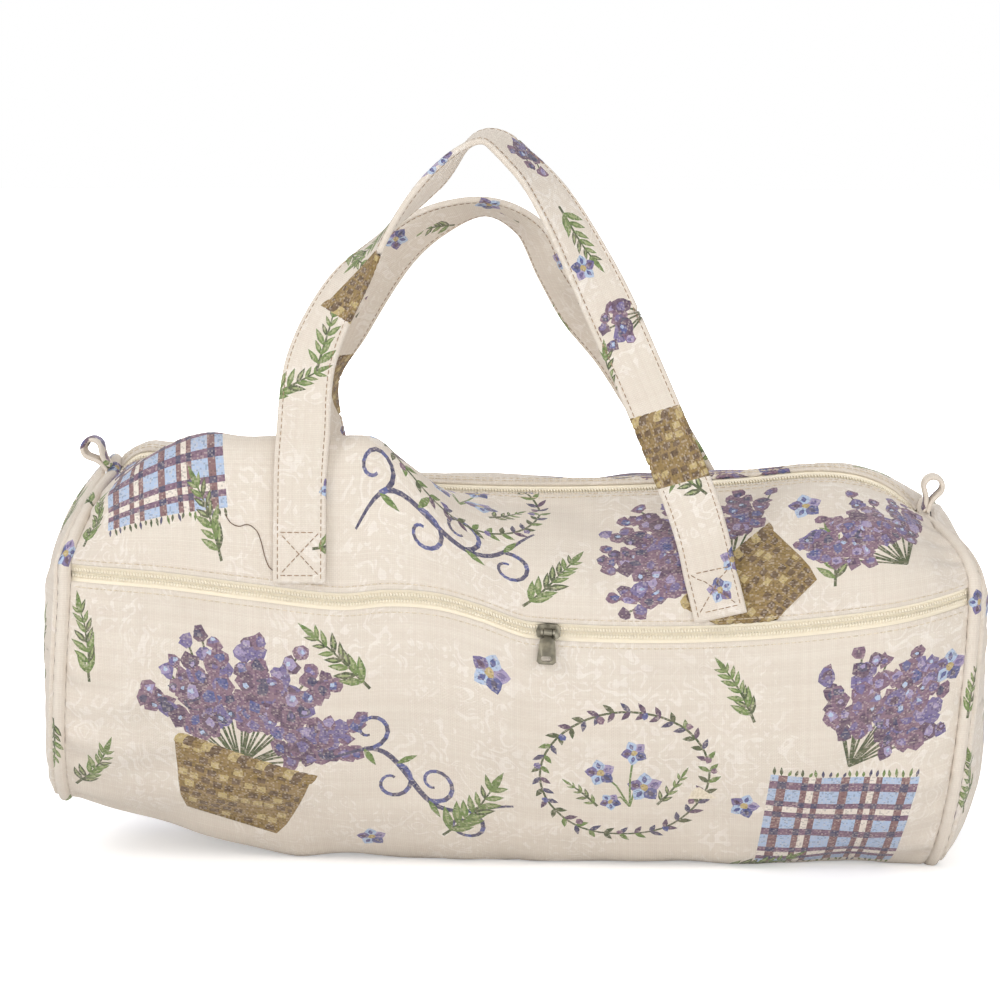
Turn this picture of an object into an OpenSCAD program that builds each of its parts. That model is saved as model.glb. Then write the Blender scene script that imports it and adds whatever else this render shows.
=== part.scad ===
// Knitting project bag: a soft barrel bag sewn from heavy woven cloth.
// The bag lies along X with its zipped front towards -Y, and stands on Z = 0.
// All sizes are in millimetres.

/* [Body] */
// Length of the cloth barrel between its two end seams
body_length = 396; // [340:1:440]
// Depth of the barrel from the front zip to the back
body_depth = 164; // [140:1:190]
// Height of the top zip at the lowest point of its dip
top_height = 165.5; // [160:0.5:190]
// How far the round belly is pressed flat where it stands
base_press = 7; // [4:0.5:12]
// How far the slack left end stands off the table
left_lift = 27; // [10:1:32]
// How far the left end leans in at the top
left_lean = 22; // [0:1:28]
// How far the right end leans in at the top
right_lean = 20; // [0:1:26]
// How far the right end is tucked in at the bottom
right_tuck = 20; // [0:1:26]
// How far the front zip curves back at the right end
right_round = 18; // [0:1:22]
// How far the front zip curves back at the left end
left_round = 6; // [0:1:14]
// Drop of the top zip over the right shoulder
right_drop = 25; // [12:1:28]
// Drop of the top zip at the left end
left_drop = 10; // [0:1:16]
// Height of the soft fold of cloth in front of the top zip
fold_height = 42; // [0:1:46]
// Thickness of the cloth with its backing
cloth = 2; // [1.2:0.1:2.4]

/* [Ends] */
// Diameter of the piping in each end seam
piping_d = 5; // [3:0.1:7]
// How far the end panels bulge out
end_dome = 4.5; // [2:0.5:12]

/* [Zips] */
// Clear width between the two cloth edges of a zip
zip_opening = 7.3; // [7.3:0.1:9]
// Width of each zip tape
tape_width = 11; // [8:0.5:14]
// Thickness of the zip tape
tape_thickness = 0.6; // [0.4:0.05:0.8]
// Width of one coil row
coil_width = 1.6; // [1:0.05:1.6]
// Height of a coil row above its tape
coil_height = 1.25; // [0.8:0.05:1.4]
// Gap between the two coil rows
coil_gap = 1.2; // [1.2:0.05:1.6]
// Lowest height of the front zip
front_zip_height = 110.2; // [104:0.2:116]
// Radius of the curve that the right part of the front zip hangs in
front_zip_radius = 670; // [600:5:900]
// Where along the bag the front zip hangs lowest
front_zip_low = 57; // [40:1:70]
// Radius of the curve that the top zip hangs in
top_zip_radius = 1000; // [900:10:2000]
// Where along the bag the top zip hangs lowest
top_zip_low = 8; // [0:1:50]
// How far the top zip lies in front of the middle
top_zip_forward = 22; // [16:1:30]
// Forward tilt of the top zip
top_zip_tilt = 23; // [12:1:30]

/* [Sliders] */
// Length of a slider body
slider_length = 10.6; // [9:0.1:14]
// Thickness of a slider's outer plate
plate_thickness = 1.2; // [0.8:0.05:1.6]
// Running clearance between slider and zip
slip = 0.35; // [0.3:0.01:0.45]
// Thickness of a slider's side flange
flange = 0.7; // [0.5:0.05:0.75]
// Diameter of the bridge bar that carries the pull
bar_d = 1.5; // [1.2:0.05:1.8]
// Where the front slider rests along the bag
front_slider_x = 17; // [14:1:180]
// How far from the left end the top slider rests
top_slider_in = 98; // [64:1:300]

/* [Pulls] */
// Length of a pull from its bar to its tip
pull_length = 14; // [11:0.5:22]
// Width of a pull below its neck
pull_top = 6.6; // [5:0.1:8]
// Width of a pull at its tip
pull_tip = 8.4; // [6:0.1:10]
// Thickness of a pull
pull_thickness = 1.2; // [0.8:0.05:1.4]
// Width of the oval hole in a pull
pull_slot = 4.6; // [3:0.1:5]
// Height of the oval hole in a pull
pull_slot_height = 2.2; // [1.4:0.1:3]

/* [Handles] */
// Width of the handle straps
strap_width = 23; // [16:0.5:30]
// Thickness of the folded handle straps
strap_thickness = 3; // [2:0.1:4]
// Distance of each handle foot from the middle of the bag
foot_offset = 90; // [70:1:110]
// Length of the stitched part of each handle foot
foot_length = 22; // [16:1:30]
// Height of the top of the front handle
front_handle_top = 321; // [280:1:360]
// Height of the top of the back handle
back_handle_top = 285; // [255:1:330]

/* [Loops] */
// Width of the cloth loops at the ends of the top zip
loop_width = 12; // [8:0.5:16]
// Clear radius inside a loop
loop_radius = 3.1; // [3:0.1:4]
// Length of a loop from its seam to the middle of its round
loop_reach = 9; // [8:0.5:14]
// Slope of the left loop above the level
left_loop_slope = 50; // [30:1:80]
// Slope of the right loop above the level
right_loop_slope = 74; // [30:1:80]

/* [Hidden] */
$fn = 48;

half = body_length / 2;
front_y = -body_depth / 2;
back_y = body_depth / 2;
edge = zip_opening / 2;
// Space left between neighbouring sewn pieces
fit = 0.3;
// Steps along the barrel, and round its back, its belly and its upper front
spans = 30;
back_spans = 9;
lower_spans = 8;
upper_spans = 9;
// Fullness of the round: 2 is a plain ellipse
back_round = 2.2;
lower_round = 2.5;
upper_round = 1.7;
// Depths below the outside of the cloth
tape_depth = cloth + 0.5;
coil_depth = tape_depth - 0.05 - coil_height;
plate_depth = coil_depth - slip;
under_depth = tape_depth + tape_thickness + slip;
// Distance from the middle of a zip to the edge of its coil, and to the end of the tape's flat part
coil_edge = coil_gap / 2 + coil_width;
tape_flat = coil_edge + fit;
// Width of the flat hem of the back beside the top zip
hem = 4;
// Where the wave of the front zip meets its round curve
kink = 8;
kink_blend = 14;
// How far the piping and the end panels stand out of, or in from, the cloth
piping_out = 1.5;
panel_in = 1.2;
// Thickness of the pocket lining, and its gap to the cloth
lining = 0.8;
lining_gap = 0.5;
// Girth from the top zip to the end of a back handle foot
back_foot = 124;
// Distance of a front handle foot from the zip edge
foot_in = 3;
// Height from which a handle's free run is counted
strand_base = 0.906 * top_height;

// Plain helpers
function clamp(t) = max(0, min(1, t));
function unit(v) = v / norm(v);
function mix(a, b, t) = a + (b - a) * t;
function sag(r, d) = r - sqrt(r * r - d * d);

// A smooth curve through knots of place and value
function knot_slope(k, i) =
    let(a = k[max(0, i - 1)], b = k[min(len(k) - 1, i + 1)]) (b[1] - a[1]) / (b[0] - a[0]);
function knot_span(k, x, i = 0) = (i >= len(k) - 2 || x < k[i + 1][0]) ? i : knot_span(k, x, i + 1);
function through(k, x) =
    let(i = knot_span(k, x), h = k[i + 1][0] - k[i][0], t = (x - k[i][0]) / h)
    (2 * t * t * t - 3 * t * t + 1) * k[i][1] + (t * t * t - 2 * t * t + t) * h * knot_slope(k, i)
    + (3 * t * t - 2 * t * t * t) * k[i + 1][1] + (t * t * t - t * t) * h * knot_slope(k, i + 1);

// The front zip hangs in one round curve on the right and lifts in a soft wave on the left
function front_arc(x) = front_zip_height + sag(front_zip_radius, x - front_zip_low);
wave = [[-1, 24.6], [-0.78, 22.4], [-0.56, 17.4], [-0.37, 13.4], [-0.26, 15.2], [-0.16, 14], [-0.07, 9.4]];
wave_knots = concat([for (k = wave) [k[0] * half, front_zip_height + k[1]]],
    [for (x = [kink, kink + kink_blend]) [x, front_arc(x)]]);
function front_zip_z(x) = x > kink ? front_arc(x) : through(wave_knots, x);

// The top zip hangs in one round curve and drops over both shoulders
function lean(x) = left_lean * pow(clamp((-x / half - 0.56) / 0.44), 2)
    - right_lean * pow(clamp((x / half - 0.62) / 0.38), 2);
function tuck(x) = right_tuck * pow(clamp((x / half - 0.56) / 0.44), 2);
function top_x(x) = x + lean(x);
function front_x(x) = x + (x < 0 ? 0.36 * lean(x) : 0);
function top_arc(x) = top_height + sag(top_zip_radius, x - top_zip_low);
function top_zip_z(x) = top_arc(top_x(x))
    - right_drop * pow(clamp((x / half - 0.62) / 0.38), 2)
    - left_drop * pow(clamp((-x / half - 0.86) / 0.14), 2);
function base_z(x) = left_lift * pow(clamp((-x / half - 0.48) / 0.52), 1.2);
function fold(x) = let(d = x / half + 0.31, fade = clamp((-x / half - 0.72) / 0.28))
    fold_height * exp(-pow(d / (d < 0 ? 0.8 : 0.18), 2)) * (1 - fade * fade);
along_top = [0, cos(top_zip_tilt), sin(top_zip_tilt)];
out_top = [0, -sin(top_zip_tilt), cos(top_zip_tilt)];
function top_rail(x) = [top_x(x), -top_zip_forward, top_zip_z(x)];
function front_in(x) = right_round * pow(clamp((x / half - 0.8) / 0.2), 2)
    + left_round * pow(clamp((-x / half - 0.8) / 0.2), 2);
function front_rail(x) = [front_x(x), front_y + front_in(x), front_zip_z(x)];

// One round of the barrel at a place along its length, as outer cloth points
function arc_y(a, n) = pow(max(0, cos(a)), 2 / n);
function arc_z(a, n) = pow(max(0, sin(a)), 2 / n);
function back_mid(x) = mix(base_z(x), top_zip_z(x), 0.48);
function back_upper(x, t) =
    let(e = top_rail(x) + (edge + hem) * along_top, m = back_mid(x), a = 90 * (1 - t))
    [x + lean(x) * pow(1 - t, 1.3),
        mix(e[1], back_y, arc_y(a, back_round)), mix(m, e[2], arc_z(a, back_round))];
function lower(x, t, y, top, in = 0) =
    let(b = base_z(x), a = 90 * t)
    [mix(x, y < 0 ? front_x(x) : x, pow(1 - t, 2)) - tuck(x) * t,
        (y + in * pow(1 - t, 3)) * arc_y(a, lower_round),
        max(b, top - (top - b + base_press) * arc_z(a, lower_round))];
function front_upper(x, t) =
    let(e = top_rail(x) - edge * along_top, s = front_rail(x) + [0, 0, edge],
        share = pow(1 - pow(e[1] / s[1], upper_round), 1 / upper_round),
        a = asin(pow(share, upper_round / 2)) * t, rise = (e[2] - s[2]) / share)
    [mix(front_x(x), top_x(x), pow(t, x < 0 ? 1.2 : 2.2)), s[1] * arc_y(a, upper_round),
        s[2] + rise * arc_z(a, upper_round) + fold(x) * 16 * t * t * (1 - t) * (1 - t)];
function main_row(x) = concat([top_rail(x) + edge * along_top],
    [for (i = [0 : back_spans - 1]) back_upper(x, i / back_spans)],
    [for (i = [0 : lower_spans - 1]) lower(x, i / lower_spans, back_y, back_mid(x))],
    [for (i = [lower_spans : -1 : 0])
        lower(x, i / lower_spans, front_y, front_zip_z(x) - edge, front_in(x))]);
function upper_row(x) = [for (i = [0 : upper_spans]) front_upper(x, i / upper_spans)];
function place(i, n = spans) = -half + body_length * i / n;
function walk(row, far, i = 0) =
    let(step = norm(row[i + 1] - row[i]))
    (far <= step || i >= len(row) - 2) ? mix(row[i], row[i + 1], far / step) : walk(row, far - step, i + 1);
function turned(row) = [for (i = [len(row) - 1 : -1 : 0]) row[i]];

// Direction out of a sheet of points
function out_of(g, i, j) = let(
    a = g[min(len(g) - 1, i + 1)][j] - g[max(0, i - 1)][j],
    b = g[i][min(len(g[0]) - 1, j + 1)] - g[i][max(0, j - 1)]) unit(cross(a, b));
function four(a, b, c, d) = [[a, b, c], [a, c, d]];

// A sheet of cloth that lies some depth under a grid of points
module sheet(g, depth, thick) {
    ni = len(g);
    nj = len(g[0]);
    n = ni * nj;
    deep = [for (j = [0 : nj - 1]) is_list(depth) ? depth[j] : depth];
    outer = [for (i = [0 : ni - 1]) for (j = [0 : nj - 1]) g[i][j] - out_of(g, i, j) * deep[j]];
    inner = [for (i = [0 : ni - 1]) for (j = [0 : nj - 1]) g[i][j] - out_of(g, i, j) * (deep[j] + thick)];
    tops = [for (i = [0 : ni - 2]) for (j = [0 : nj - 2]) let(k = i * nj + j)
        each four(k, k + 1, k + nj + 1, k + nj)];
    unders = [for (i = [0 : ni - 2]) for (j = [0 : nj - 2]) let(k = n + i * nj + j)
        each four(k, k + nj, k + nj + 1, k + 1)];
    sides = [for (i = [0 : ni - 2]) let(k = i * nj, m = k + nj - 1)
        each concat(four(k, k + nj, n + k + nj, n + k), four(m + nj, m, n + m, n + m + nj))];
    ends = [for (j = [0 : nj - 2]) let(m = (ni - 1) * nj + j)
        each concat(four(j + 1, j, n + j, n + j + 1), four(m, m + 1, n + m + 1, n + m))];
    polyhedron(concat(outer, inner), concat(tops, unders, sides, ends), convexity = 8);
}

// A solid swept through closed rings of points
module swept(rings, around = false) {
    ni = len(rings);
    nj = len(rings[0]);
    last = around ? ni - 1 : ni - 2;
    skin = [for (i = [0 : last]) for (j = [0 : nj - 1])
        let(a = i * nj + j, b = i * nj + (j + 1) % nj, c = ((i + 1) % ni) * nj, d = (j + 1) % nj)
        each four(a, b, c + d, c + j)];
    caps = around ? [] : [[for (j = [nj - 1 : -1 : 0]) j], [for (j = [0 : nj - 1]) (ni - 1) * nj + j]];
    polyhedron([for (r = rings) each r], concat(skin, caps), convexity = 8);
}

// The seam line round one end of the barrel
function end_line(x) = concat(main_row(x), upper_row(x));
function line_out(r, j) =
    let(n = len(r), d = r[(j + 1) % n] - r[(j + n - 1) % n]) unit([0, -d[2], d[1]]);
module piping(x, way) {
    r = end_line(x);
    n = len(r);
    sides = 8;
    rings = [for (j = [0 : n - 1])
        let(c = r[j] + [way * (piping_d / 2 + fit), 0, 0] - line_out(r, j) * (piping_d / 2 - piping_out))
        [for (s = [0 : sides - 1]) c + piping_d / 2
            * (line_out(r, j) * cos(360 * s / sides) - [sin(360 * s / sides), 0, 0])]];
    swept(rings, true);
}
module end_panel(x, way) {
    r = end_line(x);
    n = len(r);
    rounds = 5;
    off = way * (piping_d + 2 * fit);
    rim = [for (j = [0 : n - 1]) r[j] + [off, 0, 0] - line_out(r, j) * panel_in];
    mid = [x + off, 0, mix(base_z(x), top_zip_z(x), 0.5)];
    function bulge(k, deep) = way * (end_dome * (1 - k * k) + cloth * (1 - deep));
    function at(j, k, deep) = [mix(mid[0], rim[j][0], k * k * k) + bulge(k, deep),
        mix(mid[1], rim[j][1], k), mix(mid[2], rim[j][2], k)];
    outer = [for (i = [0 : rounds - 1]) for (j = [0 : n - 1]) at(j, 1 - i / rounds, 0)];
    inner = [for (i = [0 : rounds - 1]) for (j = [0 : n - 1]) at(j, 1 - i / rounds, 1)];
    m = rounds * n;
    tip = 2 * m;
    tops = [for (i = [0 : rounds - 2]) for (j = [0 : n - 1])
        let(a = i * n + j, b = i * n + (j + 1) % n) each four(a, b, b + n, a + n)];
    unders = [for (i = [0 : rounds - 2]) for (j = [0 : n - 1])
        let(a = m + i * n + j, b = m + i * n + (j + 1) % n) each four(b, a, a + n, b + n)];
    rims = [for (j = [0 : n - 1]) let(b = (j + 1) % n) each four(b, j, m + j, m + b)];
    fans = [for (j = [0 : n - 1]) let(a = m - n + j, b = m - n + (j + 1) % n)
        each [[a, b, tip], [m + b, m + a, tip + 1]]];
    faces = concat(tops, unders, rims, fans);
    points = concat(outer, inner, [mid + [way * (end_dome + cloth), 0, 0], mid + [way * end_dome, 0, 0]]);
    polyhedron(points, way > 0 ? faces : [for (f = faces) [f[0], f[2], f[1]]], convexity = 4);
}

// A strap swept along a route of places and facing directions
function bend(a, b, c, d, t) = 0.5 * (2 * b + (c - a) * t + (2 * a - 5 * b + 4 * c - d) * t * t
    + (3 * b - a - 3 * c + d) * t * t * t);
function smooth(p, steps) = let(n = len(p)) concat(
    [for (i = [0 : n - 2]) for (s = [0 : steps - 1])
        bend(p[max(0, i - 1)], p[i], p[i + 1], p[min(n - 1, i + 2)], s / steps)], [p[n - 1]]);
module strap(route, facing, steps = 3) {
    c = smooth(route, steps);
    f = smooth(facing, steps);
    n = len(c);
    rings = [for (i = [0 : n - 1])
        let(t = unit(c[min(n - 1, i + 1)] - c[max(0, i - 1)]), o = unit(f[i] - (f[i] * t) * t),
            w = cross(t, o) * strap_width / 2, h = o * strap_thickness / 2)
        [c[i] + w + h, c[i] - w + h, c[i] - w - h, c[i] + w - h]];
    swept(rings);
}

// Foot and rise of a handle strand on the cloth, then its free run
lift_off = strap_thickness / 2 + 0.75;
function on_front(x, far) =
    let(p = walk(upper_row(x), far), q = walk(upper_row(x), far + 1), d = q - p)
    p + lift_off * unit([0, -d[2], d[1]]);
function on_back(x, far, peel = 0) =
    let(p = walk(main_row(x), far), q = walk(main_row(x), far + 1), d = q - p)
    p + (lift_off + peel) * unit([0, -d[2], d[1]]);
function free_run(shares, side, top) =
    [for (s = shares) [s[0] * foot_offset, s[1] * side, mix(strand_base, top, s[2])]];
module front_handle() color([0.90, 0.86, 0.79]) {
    left_foot = [for (far = [0, 0.6, 1.1, 1.7, 2.25])
        on_front(-foot_offset, max(foot_in, far * foot_length))];
    right_foot = [for (share = [1, 0.75, 0.5, 0.25, 0])
        let(far = max(foot_in / foot_length, share))
        on_front((1.02 - 0.06 * far) * foot_offset, far * foot_length)];
    free = [[-0.99, 0.878, 0.26], [-0.96, 0.756, 0.44], [-0.81, 0.671, 0.615], [-0.61, 0.598, 0.755],
        [-0.375, 0.537, 0.895], [-0.145, 0.5, 1], [0.06, 0.524, 0.93], [0.23, 0.573, 0.815],
        [0.385, 0.634, 0.665], [0.545, 0.707, 0.49], [0.715, 0.805, 0.29], [0.85, 0.866, 0.12],
        [0.92, 0.902, 0.01]];
    left_facing = [[0, -1, 0.05], [0, -1, 0.1], [0, -1, 0.15], [0.01, -1, 0.25], [0.01, -1, 0.4]];
    free_facing = [[-0.03, -1, 0.2], [-0.25, -0.95, 0.1], [-0.5, -0.7, 0.3], [-0.7, -0.1, 0.5],
        [-0.6, 0.35, 0.75], [-0.1, -0.15, 1], [0.6, -0.45, 0.7], [0.6, -0.75, 0.4], [0.4, -0.9, 0.2],
        [0.2, -1, 0.1], [0.1, -1, 0.1], [0.05, -1, 0.1], [-0.03, -1, 0.3]];
    right_facing = [[-0.03, -1, 0.6], [-0.03, -1, 0.5], [-0.03, -1, 0.4], [-0.02, -1, 0.3], [0, -1, 0.2]];
    strap(concat(left_foot, free_run(free, front_y, front_handle_top), right_foot),
        concat(left_facing, free_facing, right_facing));
}
module back_handle() color([0.90, 0.86, 0.79]) {
    // The strap peels off the back at the end of its sewn foot
    rise = [[0, 0], [0.35, 0.1], [0.7, 0.4], [1, 1.8]];
    right_foot = [for (r = rise) on_back(foot_offset, back_foot - r[0] * foot_length, r[1])];
    left_foot = [for (r = turned(rise)) on_back(-foot_offset, back_foot - r[0] * foot_length, r[1])];
    free = [[0.88, 0.878, 0.05], [0.68, 0.878, 0.28], [0.47, 0.854, 0.49], [0.29, 0.805, 0.63],
        [0.155, 0.732, 0.77], [0.04, 0.683, 0.925], [-0.19, 0.659, 1], [-0.46, 0.671, 0.945],
        [-0.68, 0.707, 0.82], [-0.89, 0.78, 0.59], [-1.02, 0.841, 0.37], [-1, 0.878, 0.12]];
    foot_facing = [[0, 1, 0.2], [0, 1, 0.3], [0, 1, 0.35], [0, 1, 0.35]];
    free_facing = [[0.1, 1, 0.3], [0.3, 1, 0.2], [0.5, 0.9, 0.2], [0.6, 0.75, 0.2], [0.7, 0.6, 0.3],
        [0.45, 0.55, 0.75], [0, 0.4, 1], [-0.3, 0.7, 0.7], [-0.4, 0.9, 0.4], [-0.6, 0.8, 0.2],
        [-0.9, 0.35, 0.1], [-0.8, 0.6, 0.1]];
    strap(concat(right_foot, free_run(free, back_y, back_handle_top), left_foot),
        concat(foot_facing, free_facing, turned(foot_facing)));
}

// Cloth panels
module main_panel() color([0.90, 0.86, 0.79])
    sheet([for (i = [0 : spans]) main_row(place(i))], 0, cloth);
module upper_front_panel() color([0.90, 0.86, 0.79])
    sheet([for (i = [0 : spans]) upper_row(place(i))], 0, cloth);
module pocket_lining() color([0.85, 0.80, 0.72]) {
    // Girth down and up from the zip edges, and depth below the cloth, of each row of the lining
    down = [74, 48, 26, 12, 0];
    up = [0, 8, 14];
    under = under_depth + under_thickness + fit;
    near = cloth + lining_gap;
    mid = mix(near, under, 0.6);
    deep = [near, near, near, mid, under, under, mid, near];
    inset = 1.7;
    rows = 20;
    g = [for (i = [0 : rows - 1])
        let(x = place(inset + i * (spans - 2 * inset) / (rows - 1)),
            u = upper_row(x), m = turned(main_row(x)))
        concat([for (far = down) walk(m, far)], [for (far = up) walk(u, far)])];
    sheet(g, deep, lining);
}
module left_end_panel() color([0.88, 0.84, 0.78]) end_panel(-half, -1);
module right_end_panel() color([0.88, 0.84, 0.78]) end_panel(half, 1);
module left_piping() color([0.91, 0.87, 0.80]) piping(-half, -1);
module right_piping() color([0.91, 0.87, 0.80]) piping(half, 1);

// Cloth loops sewn into the end seams beside the top zip
module end_loop(x, way, slope) {
    seam = top_rail(x) + [way * (piping_d / 2 + fit), 0, piping_out - piping_d / 2];
    out = loop_radius + cloth;
    foot = piping_d / 2 + loop_width / 2 * tan(top_zip_tilt);
    throat = 2;
    translate(seam)
        rotate([90, -slope, way > 0 ? 0 : 180])
            translate([foot + loop_reach, 0, 0])
                linear_extrude(height = loop_width, center = true)
                    difference() {
                        union() {
                            circle(out);
                            polygon([[0, -out], [0, out], [-loop_reach, cloth], [-loop_reach, -cloth]]);
                        }
                        circle(loop_radius);
                        polygon([[0, -loop_radius], [0, loop_radius], [throat - loop_reach, 0]]);
                    }
}
module left_loop() color([0.88, 0.84, 0.77]) end_loop(-half, -1, left_loop_slope);
module right_loop() color([0.88, 0.84, 0.77]) end_loop(half, 1, right_loop_slope);

// Zip tapes under the cloth edges, and the coil rows on them
module front_tape(up) {
    s = up ? 1 : -1;
    g = [for (i = [0 : spans])
        let(x = place(i), r = front_rail(x), u = up ? upper_row(x) : turned(main_row(x)),
            row = [r + [0, 0, s * coil_gap / 2], r + [0, 0, s * tape_flat], u[0],
                walk(u, tape_width - edge)])
        up ? row : turned(row)];
    sheet(g, tape_depth, tape_thickness);
}
module top_tape(back) {
    s = back ? 1 : -1;
    g = [for (i = [0 : spans])
        let(x = place(i), r = top_rail(x), u = back ? main_row(x) : turned(upper_row(x)),
            row = [r + s * coil_gap / 2 * along_top, r + s * tape_flat * along_top, u[0],
                walk(u, tape_width - edge)])
        back ? row : turned(row)];
    sheet(g, tape_depth, tape_thickness);
}
module coil(rail, along, out, s) {
    near = s * coil_gap / 2;
    far = s * coil_edge;
    foot = coil_depth + coil_height;
    rings = [for (p = rail) [p + near * along - coil_depth * out, p + far * along - coil_depth * out,
        p + far * along - foot * out, p + near * along - foot * out]];
    swept(s > 0 ? rings : [for (r = rings) turned(r)]);
}
front_rails = [for (i = [0 : spans]) front_rail(place(i))];
top_rails = [for (i = [0 : spans]) top_rail(place(i))];
module front_zip_lower_tape() color([0.93, 0.88, 0.76]) front_tape(false);
module front_zip_upper_tape() color([0.93, 0.88, 0.76]) front_tape(true);
module front_zip_lower_coil() color([0.94, 0.89, 0.78]) coil(front_rails, [0, 0, 1], [0, -1, 0], -1);
module front_zip_upper_coil() color([0.94, 0.89, 0.78]) coil(front_rails, [0, 0, 1], [0, -1, 0], 1);
module top_zip_front_tape() color([0.93, 0.88, 0.76]) top_tape(false);
module top_zip_back_tape() color([0.93, 0.88, 0.76]) top_tape(true);
module top_zip_front_coil() color([0.94, 0.89, 0.78]) coil(top_rails, along_top, out_top, -1);
module top_zip_back_coil() color([0.94, 0.89, 0.78]) coil(top_rails, along_top, out_top, 1);

// A slider in its own frame: X along the zip, Y across it, Z out of the cloth
slider_half = coil_edge + slip + flange;
lug_x = 2.6;
lug_thickness = 1;
lug_r = 1.2;
bar_z = bar_d / 2 + lug_r - plate_depth + plate_thickness;
wedge_length = 2.4;
under_thickness = 1;
corner = 0.8;
module plate_outline() {
    tail = slider_length / 2;
    nose = tail - 2 * corner;
    polygon([[corner - tail, -slider_half * 0.8], [-1, -slider_half], [nose, -slider_half],
        [tail, -slider_half * 0.55], [tail, slider_half * 0.55], [nose, slider_half],
        [-1, slider_half], [corner - tail, slider_half * 0.8], [-tail, 0]]);
}
module slider() {
    translate([0, 0, -plate_depth]) linear_extrude(height = plate_thickness) plate_outline();
    translate([0, 0, -under_depth - under_thickness])
        linear_extrude(height = under_thickness) plate_outline();
    translate([slider_length / 4 - wedge_length / 2, -coil_gap / 4, -under_depth - under_thickness / 2])
        cube([wedge_length, coil_gap / 2, under_depth - plate_depth + under_thickness]);
    for (s = [-1, 1])
        translate([-1, s > 0 ? slider_half - flange : -slider_half, slip - tape_depth])
            cube([slider_length / 2 - corner, flange,
                tape_depth - slip - plate_depth + plate_thickness / 2]);
    for (s = [-1, 1])
        translate([s * lug_x - lug_thickness / 2, 0, 0]) {
            translate([0, -lug_r, plate_thickness / 2 - plate_depth])
                cube([lug_thickness, 2 * lug_r, bar_z + plate_depth - plate_thickness / 2]);
            translate([0, 0, bar_z]) rotate([0, 90, 0]) cylinder(r = lug_r, h = lug_thickness);
        }
    translate([-lug_x, 0, bar_z]) rotate([0, 90, 0]) cylinder(d = bar_d, h = 2 * lug_x);
}

// A pull in the same frame, hanging towards -Y from its bar
eye_r = bar_d / 2 + 0.6;
eye_slip = 0.05;
neck = 3.2;
shoulder = 2.2;
slot_rim = 1.4;
module pull_outline() {
    tip = pull_tip / 2;
    end = -pull_length;
    polygon([[-neck / 2, -0.5], [neck / 2, -0.5], [neck / 2, -shoulder], [pull_top / 2, -shoulder - 1],
        [tip, end + 1.2], [tip - 1.2, end], [1.2 - tip, end], [-tip, end + 1.2],
        [-pull_top / 2, -shoulder - 1], [-neck / 2, -shoulder]]);
}
module pull_hole() {
    run = pull_slot - pull_slot_height;
    translate([0, slot_rim + pull_slot_height / 2 - pull_length]) {
        square([run, pull_slot_height], center = true);
        for (s = [-1, 1])
            translate([s * run / 2, 0]) circle(d = pull_slot_height);
    }
}
module pull() {
    eye_length = neck + 0.2;
    difference() {
        union() {
            translate([-eye_length / 2, 0, bar_z]) rotate([0, 90, 0]) cylinder(r = eye_r, h = eye_length);
            translate([0, 0, bar_z - pull_thickness / 2])
                linear_extrude(height = pull_thickness)
                    difference() {
                        pull_outline();
                        pull_hole();
                    }
        }
        translate([-lug_x, 0, bar_z]) rotate([0, 90, 0]) cylinder(r = bar_d / 2 + eye_slip, h = 2 * lug_x);
    }
}
module at_front(x) {
    translate([front_zip_low, front_y, front_zip_height + front_zip_radius])
        rotate([0, -asin((x - front_zip_low) / front_zip_radius), 0])
            translate([0, 0, -front_zip_radius]) rotate([90, 0, 0]) children();
}
module at_top(x) {
    translate([top_zip_low, -top_zip_forward, top_height + top_zip_radius])
        rotate([0, -asin((x - top_zip_low) / top_zip_radius), 0])
            translate([0, 0, -top_zip_radius]) rotate([top_zip_tilt, 0, 0]) children();
}
top_slider_x = top_slider_in - half;
// How far the top pull drops behind the zip before it lies on the cloth
top_pull_drop = 8;
module front_zip_slider() color([0.52, 0.49, 0.42]) at_front(front_slider_x) slider();
module front_zip_pull() color([0.47, 0.44, 0.36]) at_front(front_slider_x) pull();
module top_zip_slider() color([0.52, 0.49, 0.42]) at_top(top_slider_x) slider();
module top_zip_pull() color([0.47, 0.44, 0.36])
    at_top(top_slider_x)
        translate([0, 0, bar_z])
            rotate([-top_pull_drop, 0, 0])
                translate([0, 0, -bar_z]) rotate([0, 0, 180]) pull();

main_panel();
upper_front_panel();
pocket_lining();
left_end_panel();
right_end_panel();
left_piping();
right_piping();
front_handle();
back_handle();
left_loop();
right_loop();
front_zip_lower_tape();
front_zip_upper_tape();
front_zip_lower_coil();
front_zip_upper_coil();
front_zip_slider();
front_zip_pull();
top_zip_front_tape();
top_zip_back_tape();
top_zip_front_coil();
top_zip_back_coil();
top_zip_slider();
top_zip_pull();
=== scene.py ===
# %% [markdown]
# # A soft barrel bag for knitting
# The bag is a barrel of heavy woven cloth with round ends. One zip closes a pocket in the front and
# another closes the top, two folded straps make the handles, and a small loop sits at each end of the
# top zip. The solids of these pieces come with the frame. This lesson dresses them: cloth that slumps
# and puckers, a pattern woven into it, thread, zip teeth and metal.

# %% Load the frame
import math

import bpy
import numpy as np
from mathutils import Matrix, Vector
from mathutils.geometry import delaunay_2d_cdt


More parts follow.
